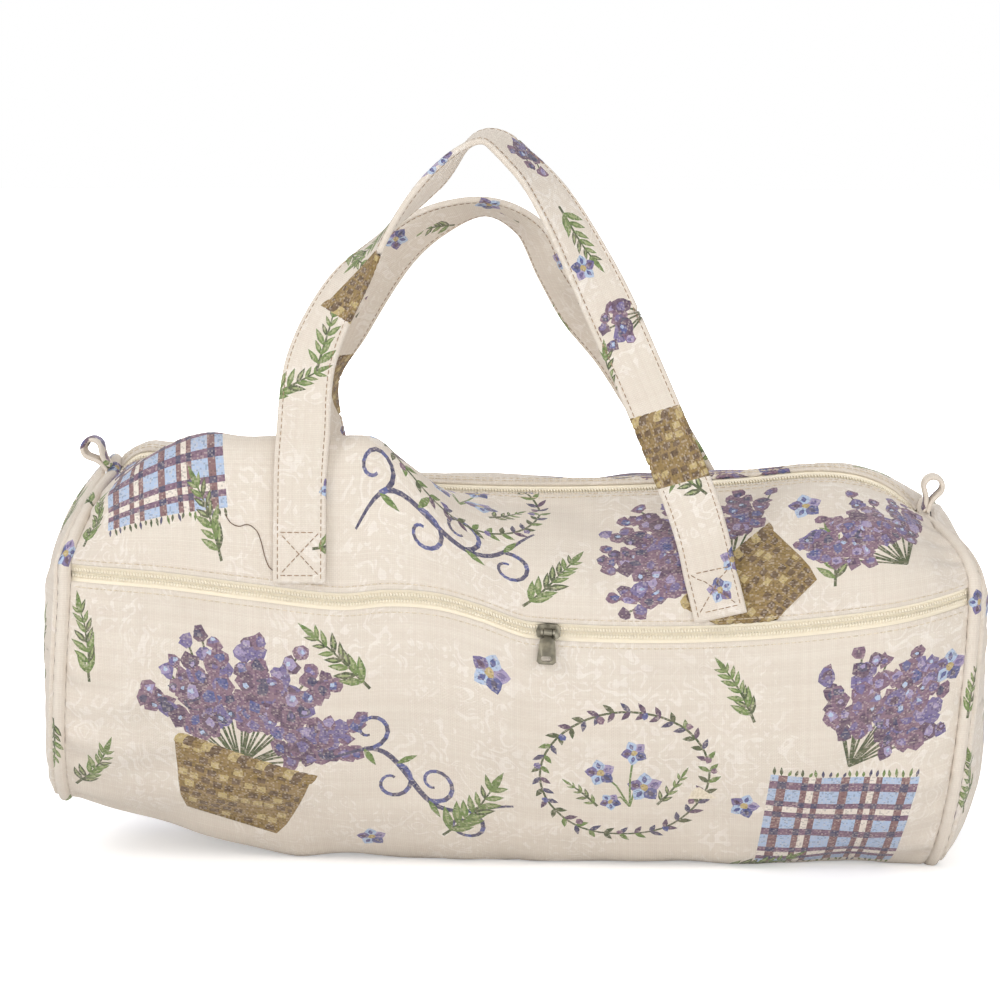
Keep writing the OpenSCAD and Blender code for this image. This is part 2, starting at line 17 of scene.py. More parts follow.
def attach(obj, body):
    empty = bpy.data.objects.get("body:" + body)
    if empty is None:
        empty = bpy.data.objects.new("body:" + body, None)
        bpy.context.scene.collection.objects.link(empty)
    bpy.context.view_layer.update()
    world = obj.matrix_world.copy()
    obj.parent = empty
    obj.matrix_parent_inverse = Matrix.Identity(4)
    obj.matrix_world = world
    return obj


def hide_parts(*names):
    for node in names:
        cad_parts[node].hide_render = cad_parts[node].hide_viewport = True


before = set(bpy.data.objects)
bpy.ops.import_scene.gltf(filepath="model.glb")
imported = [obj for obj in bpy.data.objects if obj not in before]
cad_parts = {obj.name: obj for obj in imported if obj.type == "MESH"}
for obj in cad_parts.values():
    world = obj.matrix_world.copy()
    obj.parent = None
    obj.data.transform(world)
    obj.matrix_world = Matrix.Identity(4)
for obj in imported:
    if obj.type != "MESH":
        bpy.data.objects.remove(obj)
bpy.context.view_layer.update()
MM = 0.001


def add_object(name, data):
    """A new object in the scene."""
    made = bpy.data.objects.new(name, data)
    bpy.context.scene.collection.objects.link(made)
    return made


# %% [markdown]
# ## The camera
# The picture was taken from a little above and from just right of the middle, with a long lens. A shift
# of the lens places the bag in the frame without tilting the camera, so upright things stay upright.

# %% Camera
target = Vector((0.0, -0.020, 0.130))
rise, turn, distance = math.radians(9), math.radians(2.5), 1.7
away = Vector((math.sin(turn) * math.cos(rise), -math.cos(turn) * math.cos(rise), math.sin(rise)))
camera = add_object("camera", bpy.data.cameras.new("camera"))
camera.location = target + distance * away
camera.rotation_euler = (-away).to_track_quat("-Z", "Y").to_euler()
camera.data.sensor_width = 36
camera.data.lens = 137.4
camera.data.shift_x, camera.data.shift_y = -0.015, 0.066
bpy.context.scene.camera = camera
print("camera at", tuple(round(c, 3) for c in camera.location))

# %% [markdown]
# ## Sums with many places at once
# Blender's own tools move one mesh at a time. Here every place is a row of numbers, so that one sum works
# on a whole sheet. These helpers mix, clamp and smooth such rows, and read a line by its length.

# %% Helpers for places and lines
def clamp(t):
    return np.clip(t, 0.0, 1.0)


def mix(a, b, t):
    return a + (b - a) * t


def unit(v):
    return v / np.maximum(np.linalg.norm(v, axis=-1, keepdims=True), 1e-12)


def points(*parts):
    return np.stack(np.broadcast_arrays(*parts), axis=-1).astype(float)


def sag(radius, d):
    return radius - np.sqrt(radius * radius - d * d)


def through(knots, x):
    """A smooth curve through knots of place and value."""
    place, value = np.array(knots).T
    slope = np.gradient(value)
    slope[1:-1] = (value[2:] - value[:-2]) / (place[2:] - place[:-2])
    slope[0] = (value[1] - value[0]) / (place[1] - place[0])
    slope[-1] = (value[-1] - value[-2]) / (place[-1] - place[-2])
    i = np.clip(np.searchsorted(place, x, side="right") - 1, 0, len(place) - 2)
    h = place[i + 1] - place[i]
    t = (x - place[i]) / h
    return (
        (2 * t**3 - 3 * t**2 + 1) * value[i]
        + (t**3 - 2 * t**2 + t) * h * slope[i]
        + (3 * t**2 - 2 * t**3) * value[i + 1]
        + (t**3 - t**2) * h * slope[i + 1]
    )


def lengths(line):
    """The length along a line at each of its points."""
    return np.concatenate([[0], np.cumsum(np.linalg.norm(np.diff(line, axis=0), axis=1))])


def at_length(values, far, s):
    """Rows of three values along a line, read at lengths s."""
    return np.stack([np.interp(s, far, values[:, k]) for k in range(3)], axis=1)


print("half way up a smooth bump:", through([(0, 0), (1, 4), (2, 0)], 0.5))

# %% [markdown]
# ## The slumped shape
# Soft cloth has no simple shape, so it is described by the lines that hold it. The front zip hangs in one
# round curve on the right and lifts in a wave on the left, the top zip hangs between its two ends, and
# the belly is pressed flat where it stands. Between those lines the cloth is a rounded sweep. A cloth
# simulation could slump too, but it would find a shape of its own. The numbers are those of the solids,
# in millimetres, so cloth and solids agree.

# %% Zip lines
half, front_y, top_y, back_y = 198.0, -82.0, -22.0, 82.0
zip_low, zip_radius, zip_middle, wave_end = 110.2, 670, 57, 8
top_low, top_radius, top_middle = 165.5, 1000, 8
edge, hem = 3.65, 4.0
zip_tilt = math.radians(23)
along_top = np.array([0, math.cos(zip_tilt), math.sin(zip_tilt)])
out_top = np.array([0, -math.sin(zip_tilt), math.cos(zip_tilt)])


def front_arc(x):
    return zip_low + sag(zip_radius, x - zip_middle)


wave = [(-1, 24.6), (-0.78, 22.4), (-0.56, 17.4), (-0.37, 13.4), (-0.26, 15.2), (-0.16, 14), (-0.07, 9.4)]
wave_knots = [(k * half, zip_low + z) for k, z in wave] + [(x, front_arc(x)) for x in (wave_end, 22)]


def front_zip_z(x):
    return np.where(x > wave_end, front_arc(x), through(wave_knots, x))


print("front zip at", front_zip_z(np.array([-half, 0, half])).round(1))

# %% Leaning ends, lifted floor and fold
def lean(x):
    return 22 * clamp((-x / half - 0.56) / 0.44) ** 2 - 20 * clamp((x / half - 0.62) / 0.38) ** 2


def top_x(x):
    return x + lean(x)


def front_x(x):
    return x + np.where(x < 0, 0.36 * lean(x), 0)


def top_zip_z(x):
    drop = 25 * clamp((x / half - 0.62) / 0.38) ** 2 + 10 * clamp((-x / half - 0.86) / 0.14) ** 2
    return top_low + sag(top_radius, top_x(x) - top_middle) - drop


def base_z(x):
    return 27 * clamp((-x / half - 0.48) / 0.52) ** 1.2


def fold(x):
    d, fade = x / half + 0.31, clamp((-x / half - 0.72) / 0.28)
    return 42 * np.exp(-((d / np.where(d < 0, 0.8, 0.18)) ** 2)) * (1 - fade**2)


def front_in(x):
    return 18 * clamp((x / half - 0.8) / 0.2) ** 2 + 6 * clamp((-x / half - 0.8) / 0.2) ** 2


def top_rail(x):
    return points(top_x(x), top_y, top_zip_z(x))


def front_rail(x):
    return points(front_x(x), front_y + front_in(x), front_zip_z(x))


print("top zip from", top_rail(np.array(-half)).round(1), "to", top_rail(np.array(half)).round(1))

# %% [markdown]
# ## Rounds of the barrel
# At each place along the bag, one run of points goes from the top zip down the back, under the belly and
# up to the front zip, and a second one from the front zip over to the top zip. A loft through a few drawn
# sections would look alike, but its steps would bunch up at the corners. Even steps of girth make the weave
# even, as it is on a flat bolt of cloth.

# %% Rounds
def arc(share, fullness):
    a = share * math.pi / 2
    return np.maximum(np.cos(a), 0) ** (2 / fullness), np.maximum(np.sin(a), 0) ** (2 / fullness)


def back_mid(x):
    return mix(base_z(x), top_zip_z(x), 0.48)


def back_upper(x, t):
    e = top_rail(x) + (edge + hem) * along_top
    across, up = arc(1 - t, 2.2)
    return points(
        x + lean(x) * (1 - t) ** 1.3, mix(e[..., 1], back_y, across), mix(back_mid(x), e[..., 2], up)
    )


def lower(x, t, y, top, inward):
    across, down = arc(t, 2.5)
    tuck = 20 * clamp((x / half - 0.56) / 0.44) ** 2
    start = front_x(x) if y < 0 else x
    z = np.maximum(base_z(x), top - (top - base_z(x) + 7) * down)
    return points(mix(x, start, (1 - t) ** 2) - tuck * t, (y + inward * (1 - t) ** 3) * across, z)


def front_upper(x, t):
    e, s = top_rail(x) - edge * along_top, front_rail(x) + np.array([0, 0, edge])
    share = (1 - (e[..., 1] / s[..., 1]) ** 1.7) ** (1 / 1.7)
    across, up = arc(np.arcsin(share**0.85) / (math.pi / 2) * t, 1.7)
    height = s[..., 2] + (e[..., 2] - s[..., 2]) / share * up
    return points(
        mix(front_x(x), top_x(x), t ** np.where(x < 0, 1.2, 2.2)),
        s[..., 1] * across,
        height + fold(x) * 16 * t**2 * (1 - t) ** 2,
    )


def main_rounds(x):
    x = np.asarray(x, float)[:, None]
    t = np.linspace(0, 1, 72)[None, :]
    flat = top_rail(x) + (edge + hem * t[:, ::8, None]) * along_top
    return np.concatenate(
        [
            flat,
            back_upper(x, t)[:, 1:],
            lower(x, t, back_y, back_mid(x), 0)[:, 1:],
            lower(x, t[:, ::-1], front_y, front_zip_z(x) - edge, front_in(x))[:, 1:],
        ],
        axis=1,
    )


def upper_rounds(x):
    return front_upper(np.asarray(x, float)[:, None], np.linspace(0, 1, 120)[None, :])


def even(rows, count, trim=0.0):
    """The same rows at even steps of length, cut short by trim at both ends."""
    made = []
    for row in rows:
        far = lengths(row)
        made.append(at_length(row, far, np.linspace(trim, far[-1] - trim, count)))
    return np.array(made)


def girth(rows):
    return float(np.mean(np.linalg.norm(np.diff(rows, axis=1), axis=2).sum(axis=1)))


roll, main_steps, upper_steps = 0.8, 300, 96
stations = np.linspace(-half, half, 265)
main_grid = even(main_rounds(stations), main_steps, roll)
upper_grid = even(upper_rounds(stations), upper_steps, roll)
main_girth, upper_girth = girth(main_grid), girth(upper_grid)
print(f"main cloth {2 * half:.0f} x {main_girth:.0f} mm, upper cloth {2 * half:.0f} x {upper_girth:.0f} mm")

# %% [markdown]
# ## A sheet of cloth
# A sheet keeps two things together: where each place of the flat cloth is in space, and which way the
# cloth faces there. Wrinkles are heights along that direction. A Displace modifier could raise them on a
# finished mesh, but this way tapes and stitches can ask the sheet for its place, wrinkles and all. At a zip
# the cloth is turned under, which is what gives its edge a thickness.

# %% Sheets
class Sheet:
    def __init__(self, u, v, grid, flip=False):
        self.u, self.v, self.flip = np.asarray(u, float), np.asarray(v, float), flip
        self.set(grid)

    def set(self, grid):
        self.grid = grid
        du, dv = np.gradient(grid, self.u, axis=0), np.gradient(grid, self.v, axis=1)
        self.normals = unit(np.cross(dv, du) if self.flip else np.cross(du, dv))

    def raised(self, height):
        self.set(self.grid + self.normals * height[..., None])

    def at(self, uv):
        """Place and facing of the cloth at flat places uv."""
        i = np.clip(np.searchsorted(self.u, uv[:, 0], side="right") - 1, 0, len(self.u) - 2)
        j = np.clip(np.searchsorted(self.v, uv[:, 1], side="right") - 1, 0, len(self.v) - 2)
        s = clamp((uv[:, 0] - self.u[i]) / (self.u[i + 1] - self.u[i]))[:, None]
        t = clamp((uv[:, 1] - self.v[j]) / (self.v[j + 1] - self.v[j]))[:, None]
        found = []
        for g in (self.grid, self.normals):
            found.append(mix(mix(g[i, j], g[i + 1, j], s), mix(g[i, j + 1], g[i + 1, j + 1], s), t))
        return found[0], unit(found[1])


turned_in = 5


def turned_under(sheet):
    """Adds the hem that is turned under at both edges of a sheet."""
    turn_steps = np.linspace(0, math.pi, 7)[1:]
    grid, v = sheet.grid, sheet.v
    for first in (True, False):
        e, n = (grid[:, 0], sheet.normals[:, 0]) if first else (grid[:, -1], sheet.normals[:, -1])
        d = unit(grid[:, 1] - grid[:, 0]) if first else unit(grid[:, -2] - grid[:, -1])
        rows = [e + roll * (-d * math.sin(a) + n * (math.cos(a) - 1)) for a in turn_steps]
        rows.append(rows[-1] + turned_in * d)
        steps = np.append(roll * turn_steps, roll * math.pi + turned_in)
        if first:
            grid = np.concatenate([np.array(rows[::-1]).swapaxes(0, 1), grid], axis=1)
            v = np.concatenate([v[0] - steps[::-1], v])
        else:
            grid = np.concatenate([grid, np.array(rows).swapaxes(0, 1)], axis=1)
            v = np.concatenate([v, v[-1] + steps])
    return Sheet(sheet.u, v, grid, sheet.flip)


main_sheet = Sheet(stations, np.linspace(0, main_girth, main_steps), main_grid)
upper_sheet = Sheet(stations, np.linspace(0, upper_girth, upper_steps), upper_grid)
print("back faces", main_sheet.at(np.array([[0, 80.0]]))[1].round(2))

# %% [markdown]
# ## Wrinkles
# Cloth that is sewn to a zip or to piping puckers beside the seam, a half empty bag has long soft
# dents, and a corner that is not filled throws folds. Each is a height over the flat cloth: short waves
# that die out away from a seam, broad slow waves, and single creases along a line. Sculpting by hand
# would do as well, but heights in code are the same on every run and can be held flat under a strap.

# %% Waves and creases
def ripple(u, v, seed, waves, height):
    """A slow uneven swell made of a few waves in chance directions."""
    draw = np.random.default_rng(seed)
    total = np.zeros(np.broadcast(u, v).shape)
    for length in waves:
        a, phase = draw.uniform(0, 2 * math.pi, 2)
        total += np.sin(2 * math.pi * (u * math.cos(a) + v * math.sin(a)) / length + phase)
    return height * total / math.sqrt(len(waves))


def crease(u, v, start, end, width, height):
    """One soft fold along a line, which fades at both ends."""
    a, b = np.array(start, float), np.array(end, float)
    d = (b - a) / np.linalg.norm(b - a)
    far = ((u - a[0]) * d[0] + (v - a[1]) * d[1]) / np.linalg.norm(b - a)
    side = (-(u - a[0]) * d[1] + (v - a[1]) * d[0]) / width
    return height * np.exp(-(side**2)) * np.sin(math.pi * clamp(far)) ** 1.5


def puckers(place, from_seam, seed, length, reach, height):
    """Short waves along a seam, which die out with the distance from it."""
    slip = ripple(place, place * 0, seed, (140, 90, 55), 3.0)
    fade = np.exp(-((np.abs(from_seam) / reach) ** 1.3))
    return height * fade * np.sin(2 * math.pi * (place + slip) / length)


print("a crease is", crease(5.0, 0.0, (0, 0), (10, 0), 2, 1.5), "mm high in its middle")

# %% Wrinkles of the main cloth
foot_x = 90


def wrinkle_main(u, v):
    down, to_end = main_girth - v, half - np.abs(u)
    front = clamp((150 - down) / 40)
    h = ripple(u, v, 3, (170, 130, 95, 75, 60), 1.2) + ripple(u, v, 4, (46, 38, 31, 24), 0.36)
    h += puckers(u, down - 8, 5, 14, 10, 0.6) + puckers(u, v - 8, 6, 15, 9, 0.45)
    h += puckers(v, to_end, 7, 17, 15, 1.2) + puckers(v, to_end, 8, 31, 30, 1.1)
    for a, b, width, height in (
        ((-196, 62), (-128, 36), 7, 2.2),
        ((-190, 96), (-120, 70), 8, -2.5),
        ((-160, 118), (-70, 92), 12, -2.8),
        ((-60, 24), (-34, 98), 13, -2.2),
        ((-14, 12), (8, 70), 8, 1.4),
        ((70, 20), (96, 110), 16, -2.1),
        ((196, 40), (140, 60), 9, -2.2),
        ((194, 84), (128, 100), 10, 2.0),
        ((30, 112), (150, 108), 9, 1.7),
    ):
        h += front * crease(u, down, a, b, width, height)
    for a, b, width, height in (
        ((-190, 40), (-110, 70), 12, -2.8),
        ((-70, 30), (-40, 130), 16, -2.8),
        ((40, 24), (70, 120), 15, 2.2),
        ((190, 60), (110, 90), 12, -2.8),
    ):
        h += (1 - front) * crease(u, v, a, b, width, height)
    keep = clamp((down - 2) / 12) * clamp((v - 6) / 14) * clamp(to_end / 3)
    feet = np.exp(-(((np.abs(u) - foot_x) / 17) ** 4)) * np.exp(-(((v - 112) / 26) ** 4))
    return h * keep * (1 - feet)


main_height = wrinkle_main(*np.meshgrid(main_sheet.u, main_sheet.v, indexing="ij"))
main_sheet.raised(main_height)
print(f"wrinkles from {main_height.min():.1f} to {main_height.max():.1f} mm")

# %% Wrinkles of the upper cloth
def wrinkle_upper(u, v):
    up, to_end = upper_girth - v, half - np.abs(u)
    h = ripple(u, v, 13, (120, 95, 70, 52), 1.1) + ripple(u, v, 14, (40, 33, 25), 0.34)
    h += puckers(u, v - 7, 15, 13, 10, 0.6) + puckers(u, up - 7, 16, 14, 9, 0.45)
    h += puckers(v, to_end, 17, 16, 15, 1.2)
    for a, b, width, height in (
        ((-196, 40), (-130, 74), 8, -2.2),
        ((-150, 16), (-116, 84), 11, 2.0),
        ((-66, 10), (-36, 84), 9, -2.5),
        ((-40, 60), (30, 86), 9, -2.2),
        ((6, 8), (34, 70), 9, 1.5),
        ((110, 20), (150, 80), 11, -2.0),
        ((196, 60), (140, 40), 9, 1.7),
    ):
        h += crease(u, v, a, b, width, height)
    keep = clamp((v - 2) / 12) * clamp((up - 2) / 10) * clamp(to_end / 3)
    feet = np.exp(-(((np.abs(u) - foot_x) / 18) ** 4)) * np.exp(-(((v - 26) / 42) ** 4))
    return h * keep * (1 - feet)


upper_height = wrinkle_upper(*np.meshgrid(upper_sheet.u, upper_sheet.v, indexing="ij"))
upper_sheet.raised(upper_height)
print(f"wrinkles from {upper_height.min():.1f} to {upper_height.max():.1f} mm")

# %% [markdown]
# No wrinkle may push through the table, so the belly is pressed flat again. Then the hems are added.

# %% Flat belly and hems
table = 0.15
main_sheet.grid[..., 2] = np.maximum(main_sheet.grid[..., 2], table)
main_sheet.set(main_sheet.grid)
main_hemmed, upper_hemmed = turned_under(main_sheet), turned_under(upper_sheet)
print("with its hems the main cloth has", main_hemmed.grid.shape[:2], "places")

# %% [markdown]
# ## Colours of the yarn
# A cloth like this is woven with a handful of dyed yarns. Colours could be picked one by one where they are
# used, but then no two leaves would match. They are named once, as they look on a screen, and turned into
# the linear values that Blender works with.

# %% Yarns
def linear(rgb):
    c = np.array(rgb, float) / 255
    return np.where(c <= 0.04045, c / 12.92, ((c + 0.055) / 1.055) ** 2.4)


yarn = {
    "ground": (231, 222, 208),
    "mauve": (120, 92, 120),
    "plum": (82, 62, 96),
    "violet": (104, 98, 152),
    "lilac": (158, 148, 190),
    "blue": (66, 86, 148),
    "sky": (176, 200, 230),
    "navy": (50, 62, 102),
    "leaf": (96, 132, 62),
    "moss": (56, 84, 46),
    "sage": (150, 168, 112),
    "gold": (134, 110, 50),
    "bark": (84, 64, 30),
    "straw": (190, 170, 112),
    "rust": (128, 94, 100),
    "cream": (242, 234, 222),
}
yarn = {name: linear(rgb) for name, rgb in yarn.items()}
print(len(yarn), "yarns")

# %% [markdown]
# ## Motifs
# Each motif is a list of small outlines with a yarn, laid one over the other like paint. Leaves, round
# blobs and ribbons are enough to draw sprigs, bunches of flower spikes, wreaths, baskets and checked
# cloth. A painted picture is the usual way, but outlines stay sharp from any distance and need no file.
# Chance draws with fixed seeds keep every run the same.

# %% Leaves, blobs and ribbons
def leaf(base, tip, width):
    base, tip = np.array(base, float), np.array(tip, float)
    side = np.array([base[1] - tip[1], tip[0] - base[0]]) / np.linalg.norm(tip - base) * width
    steps = ((0, 0.08), (0.2, 0.36), (0.45, 0.5), (0.75, 0.3), (1, 0))
    way = [base + t * (tip - base) - w * side for t, w in steps]
    return np.array(way + [base + t * (tip - base) + w * side for t, w in steps[-2::-1]])


def blob(centre, radius, draw, sides=7, uneven=0.25):
    a = (np.arange(sides) + draw.uniform(-0.25, 0.25, sides)) * 2 * math.pi / sides
    r = radius * (1 + uneven * draw.uniform(-1, 1, sides))
    return np.array(centre) + np.stack([r * np.cos(a), r * np.sin(a)], axis=1)


def ribbon(line, width):
    """A thin band along a line, as one outline for each step of it."""
    line = np.array(line, float)
    d = unit(np.gradient(line, axis=0))
    side = np.stack([-d[:, 1], d[:, 0]], axis=1) * np.reshape(width, (-1, 1)) / 2
    left, right = line - side, line + side
    return [np.array([left[k], left[k + 1], right[k + 1], right[k]]) for k in range(len(line) - 1)]


def placed(motif, at, turn=0.0, size=1.0):
    a = math.radians(turn)
    spin = size * np.array([[math.cos(a), math.sin(a)], [-math.sin(a), math.cos(a)]])
    return [(outline @ spin + np.array(at), colour) for outline, colour in motif]


print("a leaf has", len(leaf((0, 0), (5, 0), 2)), "corners")

# %% Sprigs, flowers and flower spikes
def sprig(seed, length=34, pairs=7):
    draw = np.random.default_rng(seed)
    t = np.linspace(0, 1, 7)
    stem = np.stack([length * 0.1 * np.sin(2.2 * t), length * t], axis=1)
    made = [(o, "moss") for o in ribbon(stem, np.linspace(1.3, 0.6, 7))]
    for k in range(pairs):
        share = 0.12 + 0.86 * k / pairs
        at = np.array([length * 0.1 * math.sin(2.2 * share), length * share])
        for s in (-1, 1):
            reach = length * draw.uniform(0.26, 0.36) * (1.05 - 0.55 * share)
            a = math.radians(90 - s * draw.uniform(28, 46))
            tip = at + reach * np.array([math.cos(a), math.sin(a)])
            made.append((leaf(at, tip, reach * 0.34), draw.choice(["leaf", "leaf", "moss"])))
            made.append((leaf(mix(at, tip, 0.25), mix(at, tip, 0.85), reach * 0.12), "sage"))
    made.append((leaf(stem[-2], stem[-1] + np.array([0, length * 0.16]), length * 0.08), "leaf"))
    return made


petal_yarns = [("lilac", "violet"), ("sky", "blue"), ("violet", "plum"), ("sky", "blue"), ("blue", "navy")]


def flower(seed, radius):
    draw = np.random.default_rng(seed)
    turn, made = draw.uniform(0, 72), []
    for k in range(5):
        a = math.radians(turn + 72 * k)
        tip = radius * np.array([math.cos(a), math.sin(a)])
        petal, vein = petal_yarns[k]
        made.append((leaf(0.12 * tip, tip, radius * 0.85), petal))
        made.append((leaf(0.3 * tip, 0.8 * tip, radius * 0.3), vein))
    return made + [(blob((0, 0), radius * 0.24, draw), "straw")]


def floret(at, size, draw):
    """One small blossom of two or three outlines."""
    outer = (blob(at, size, draw, 8, 0.3), draw.choice(["mauve", "mauve", "plum", "violet", "mauve"]))
    dark = at + draw.uniform(-0.9, 0.9, 2)
    heart = blob(dark, size * 0.6, draw, 6, 0.4)
    inner = (heart, draw.choice(["blue", "plum", "navy", "violet", "lilac"]))
    light = dark + draw.uniform(-0.8, 0.8, 2)
    spark = (blob(light, size * 0.3, draw, 5, 0.4), draw.choice(["sky", "sky", "lilac", "violet"]))
    return (outer, inner, spark)[: draw.integers(2, 4)]


def bunch(seed, stems, reach, spread):
    """Stalks in a fan, each with blossom on the outer part of its length."""
    draw = np.random.default_rng(seed)
    in_bloom, pitch = 0.68, 4.6
    stalks, florets = [], []
    for k in range(stems):
        share = k / (stems - 1) - 0.5
        a = math.radians(90 - spread * share + draw.uniform(-5, 5))
        heading = np.array([math.cos(a), math.sin(a)])
        length = reach * draw.uniform(0.66, 1.0) * (1 - 0.5 * share * share)
        stalk = [0 * heading, 0.5 * length * heading, length * heading]
        stalks += [(o, "moss") for o in ribbon(stalk, 0.8)]
        count = int(length * in_bloom / pitch)
        for n in range(count):
            t = 1 - n / count * in_bloom
            size = 2.1 + 1.7 * math.sin(math.pi * clamp((1 - t) / in_bloom * 0.8 + 0.15))
            florets.append(floret(length * t * heading + draw.uniform(-1.5, 1.5, 2), size, draw))
    order = draw.permutation(len(florets))
    return stalks + [piece for n in order for piece in florets[n]]


print("a bunch takes", len(bunch(1, 21, 58, 120)), "outlines")

# %% Wreaths
def wreath(seed, radius):
    """A slightly flat ring of leaves round four flowers."""
    draw = np.random.default_rng(seed)
    steps, squeeze = 34, 0.86

    def ring(a, r):
        return np.array([r * math.cos(a), squeeze * r * math.sin(a)])

    circle = [ring(a, radius) for a in np.linspace(0.1, 2 * math.pi - 0.1, 49)]
    made = [(o, "moss") for o in ribbon(circle, 1.0)]
    for k in range(steps):
        a = 2 * math.pi * (k + 0.5) / steps
        for s in (-1, 1):
            reach = draw.uniform(5.0, 7.0)
            tip = ring(a + 0.11, radius + s * reach * 0.75)
            made.append((leaf(ring(a, radius), tip, 2.5), draw.choice(["moss", "leaf", "navy", "plum"])))
        if k % 3 == 0:
            bud = blob(ring(a, radius + draw.uniform(-4, 4)), 1.7, draw, 6)
            made.append((bud, draw.choice(["violet", "blue", "mauve"])))
    for k, (x, y, r) in enumerate(((-10, 4, 7), (8, -6, 8), (6, 12, 6), (-8, -12, 5))):
        stem = [(0.9 * x, 0.9 * y), (0.4 * x, 0.4 * y - 5), (0, -18 * squeeze)]
        made += [(o, "leaf") for o in ribbon(stem, 0.9)]
        made += placed(flower(seed + k, r), (x, y))
    made += placed(sprig(seed + 9, 20, 4), (12, -16), -40) + placed(sprig(seed + 8, 18, 4), (-14, -14), 44)
    return made


print("a wreath takes", len(wreath(2, 33)), "outlines")

# %% Baskets
def basket(seed, width=50, height=32):
    """A basket that is wider at its plaited rim, with rows of short dashes for the cane."""
    draw = np.random.default_rng(seed)
    rows, rim_bits = 8, 15

    def wide(t):
        return width / 2 * (0.66 + 0.34 * t**0.7)

    left = [(-wide(t), height * t) for t in np.linspace(1, 0, 6)]
    made = [(np.array(left + [(wide(t), height * t) for t in np.linspace(0, 1, 6)]), "gold")]
    for r in range(rows):
        y0, y1 = height * (r + 0.12) / rows, height * (r + 0.9) / rows
        count = int(2 * wide((r + 0.5) / rows) / 4.2)
        for k in range(count):
            x0 = mix(-wide(r / rows), wide(r / rows), (k + 0.5 * (r % 2)) / count)
            x1 = min(x0 + 3.1, wide(r / rows) - 0.5)
            if x1 - x0 < 1:
                continue
            dash = np.array([(x0, y0), (x1, y0 + 0.5), (x1, y1), (x0, y1 - 0.5)])
            dash += draw.uniform(-0.25, 0.25, (4, 2))
            made.append((dash, draw.choice(["bark", "straw", "gold", "bark"])))
    for k in range(rim_bits):
        x = mix(-width / 2, width / 2, k / rim_bits)
        made.append((leaf((x, height - 1.5), (x + 5.4, height + 2.6), 4.2), ("straw", "bark", "gold")[k % 3]))
    return made


def full_basket(seed):
    return placed(bunch(seed, 23, 56, 130), (0, 28)) + placed(basket(seed), (0, -2))


print("a basket takes", len(basket(3)), "outlines")

# %% Checks
def checks(seed):
    """A cloth of crossing bars with a short fringe above and below."""
    draw = np.random.default_rng(seed)
    width, height, wide_bar, thin_bar, fringe = 58, 46, 3.4, 2.4, 22

    def bar(x0, y0, x1, y1):
        return np.array([(x0, y0), (x1, y0), (x1, y1), (x0, y1)]) - (width / 2, height / 2)

    def bars(wide, thin):
        return sorted([(at, at + wide_bar) for at in wide] + [(at, at + thin_bar) for at in thin])

    made = [(bar(0, 0, width, height), "sky")]
    uprights, levels = bars((3, 27, 51), (12, 17, 36, 41)), bars((18, 40), (4, 9, 27, 32))
    for x0, x1 in ((14.4, 17), (38.4, 41)):
        made.append((bar(x0, 0, x1, height), "cream"))
    for y0, y1 in ((6.4, 9), (29.4, 32)):
        made.append((bar(0, y0, width, y1), "cream"))
    made += [(bar(x0, 0, x1, height), "rust") for x0, x1 in uprights]
    made += [(bar(0, y0, width, y1), "mauve") for y0, y1 in levels]
    made += [(bar(x0, y0, x1, y1), "navy") for x0, x1 in uprights for y0, y1 in levels]
    for k in range(fringe):
        x = -width / 2 + width * (k + 0.5) / fringe
        for y, s in ((-height / 2, -1), (height / 2, 1)):
            tip = (x + draw.uniform(-1, 1), y + s * draw.uniform(2, 3.6))
            made.append((leaf((x, y), tip, 1.3), draw.choice(["moss", "navy", "leaf"])))
    return made


print("checks take", len(checks(4)), "outlines")

# %% Tendrils
def tendril(seed):
    """A waving vine with four curls."""
    draw = np.random.default_rng(seed)
    length = 62
    t = np.linspace(0, 1, 26)
    vine = np.stack([length * t, 7 * np.sin(2.3 * math.pi * t)], axis=1)
    made = [(o, "navy") for o in ribbon(vine, 0.8 + 1.1 * np.sin(math.pi * t))]
    for share, s in ((0.16, 1), (0.36, -1), (0.58, 1), (0.8, -1)):
        at = np.array([length * share, 7 * math.sin(2.3 * math.pi * share)])
        a = np.linspace(0, 3.2 * math.pi / 2 * 1.3, 17)
        r = 7.5 * (1 - 0.74 * a / a[-1])
        curl = at + np.stack([r * np.sin(a), s * (7.5 - r * np.cos(a)) * 0.95], axis=1)
        made += [(o, draw.choice(["blue", "navy"])) for o in ribbon(curl, np.linspace(1.7, 0.9, 17))]
        made.append((leaf(at, at + np.array([5.5, -s * 5.0]), 2.2), "leaf"))
    return made


print("a tendril takes", len(tendril(5)), "outlines")

# %% [markdown]
# ## Weaving the pattern into a mesh
# A colour per corner is sharp only if the mesh has an edge along every outline. A constrained Delaunay
# triangulation does that: it takes an even net of points and all the outlines in flat cloth, and gives
# triangles that respect them. Each triangle then takes the topmost yarn at its middle, and its corners
# move to their places in space. The facing is copied from the sheet, so shading stays smooth.

# %% Weaving
def cut_to(a, b, low, high):
    """The part of the line from a to b that lies in a box, or nothing."""
    d, t0, t1 = b - a, 0.0, 1.0
    for k in range(2):
        if abs(d[k]) < 1e-9:
            if not low[k] <= a[k] <= high[k]:
                return None
            continue
        p, q = sorted(((low[k] - a[k]) / d[k], (high[k] - a[k]) / d[k]))
        t0, t1 = max(t0, p), min(t1, q)
    return [np.clip(a + t * d, low, high) for t in (t0, t1)] if t1 - t0 > 1e-6 else None


def inside(outline, places):
    x, y = places[:, 0], places[:, 1]
    hit = np.zeros(len(places), bool)
    for (x0, y0), (x1, y1) in zip(outline, np.roll(outline, -1, axis=0)):
        if y0 != y1:
            hit ^= ((y0 > y) != (y1 > y)) & (x < (x1 - x0) * (y - y0) / (y1 - y0) + x0)
    return hit


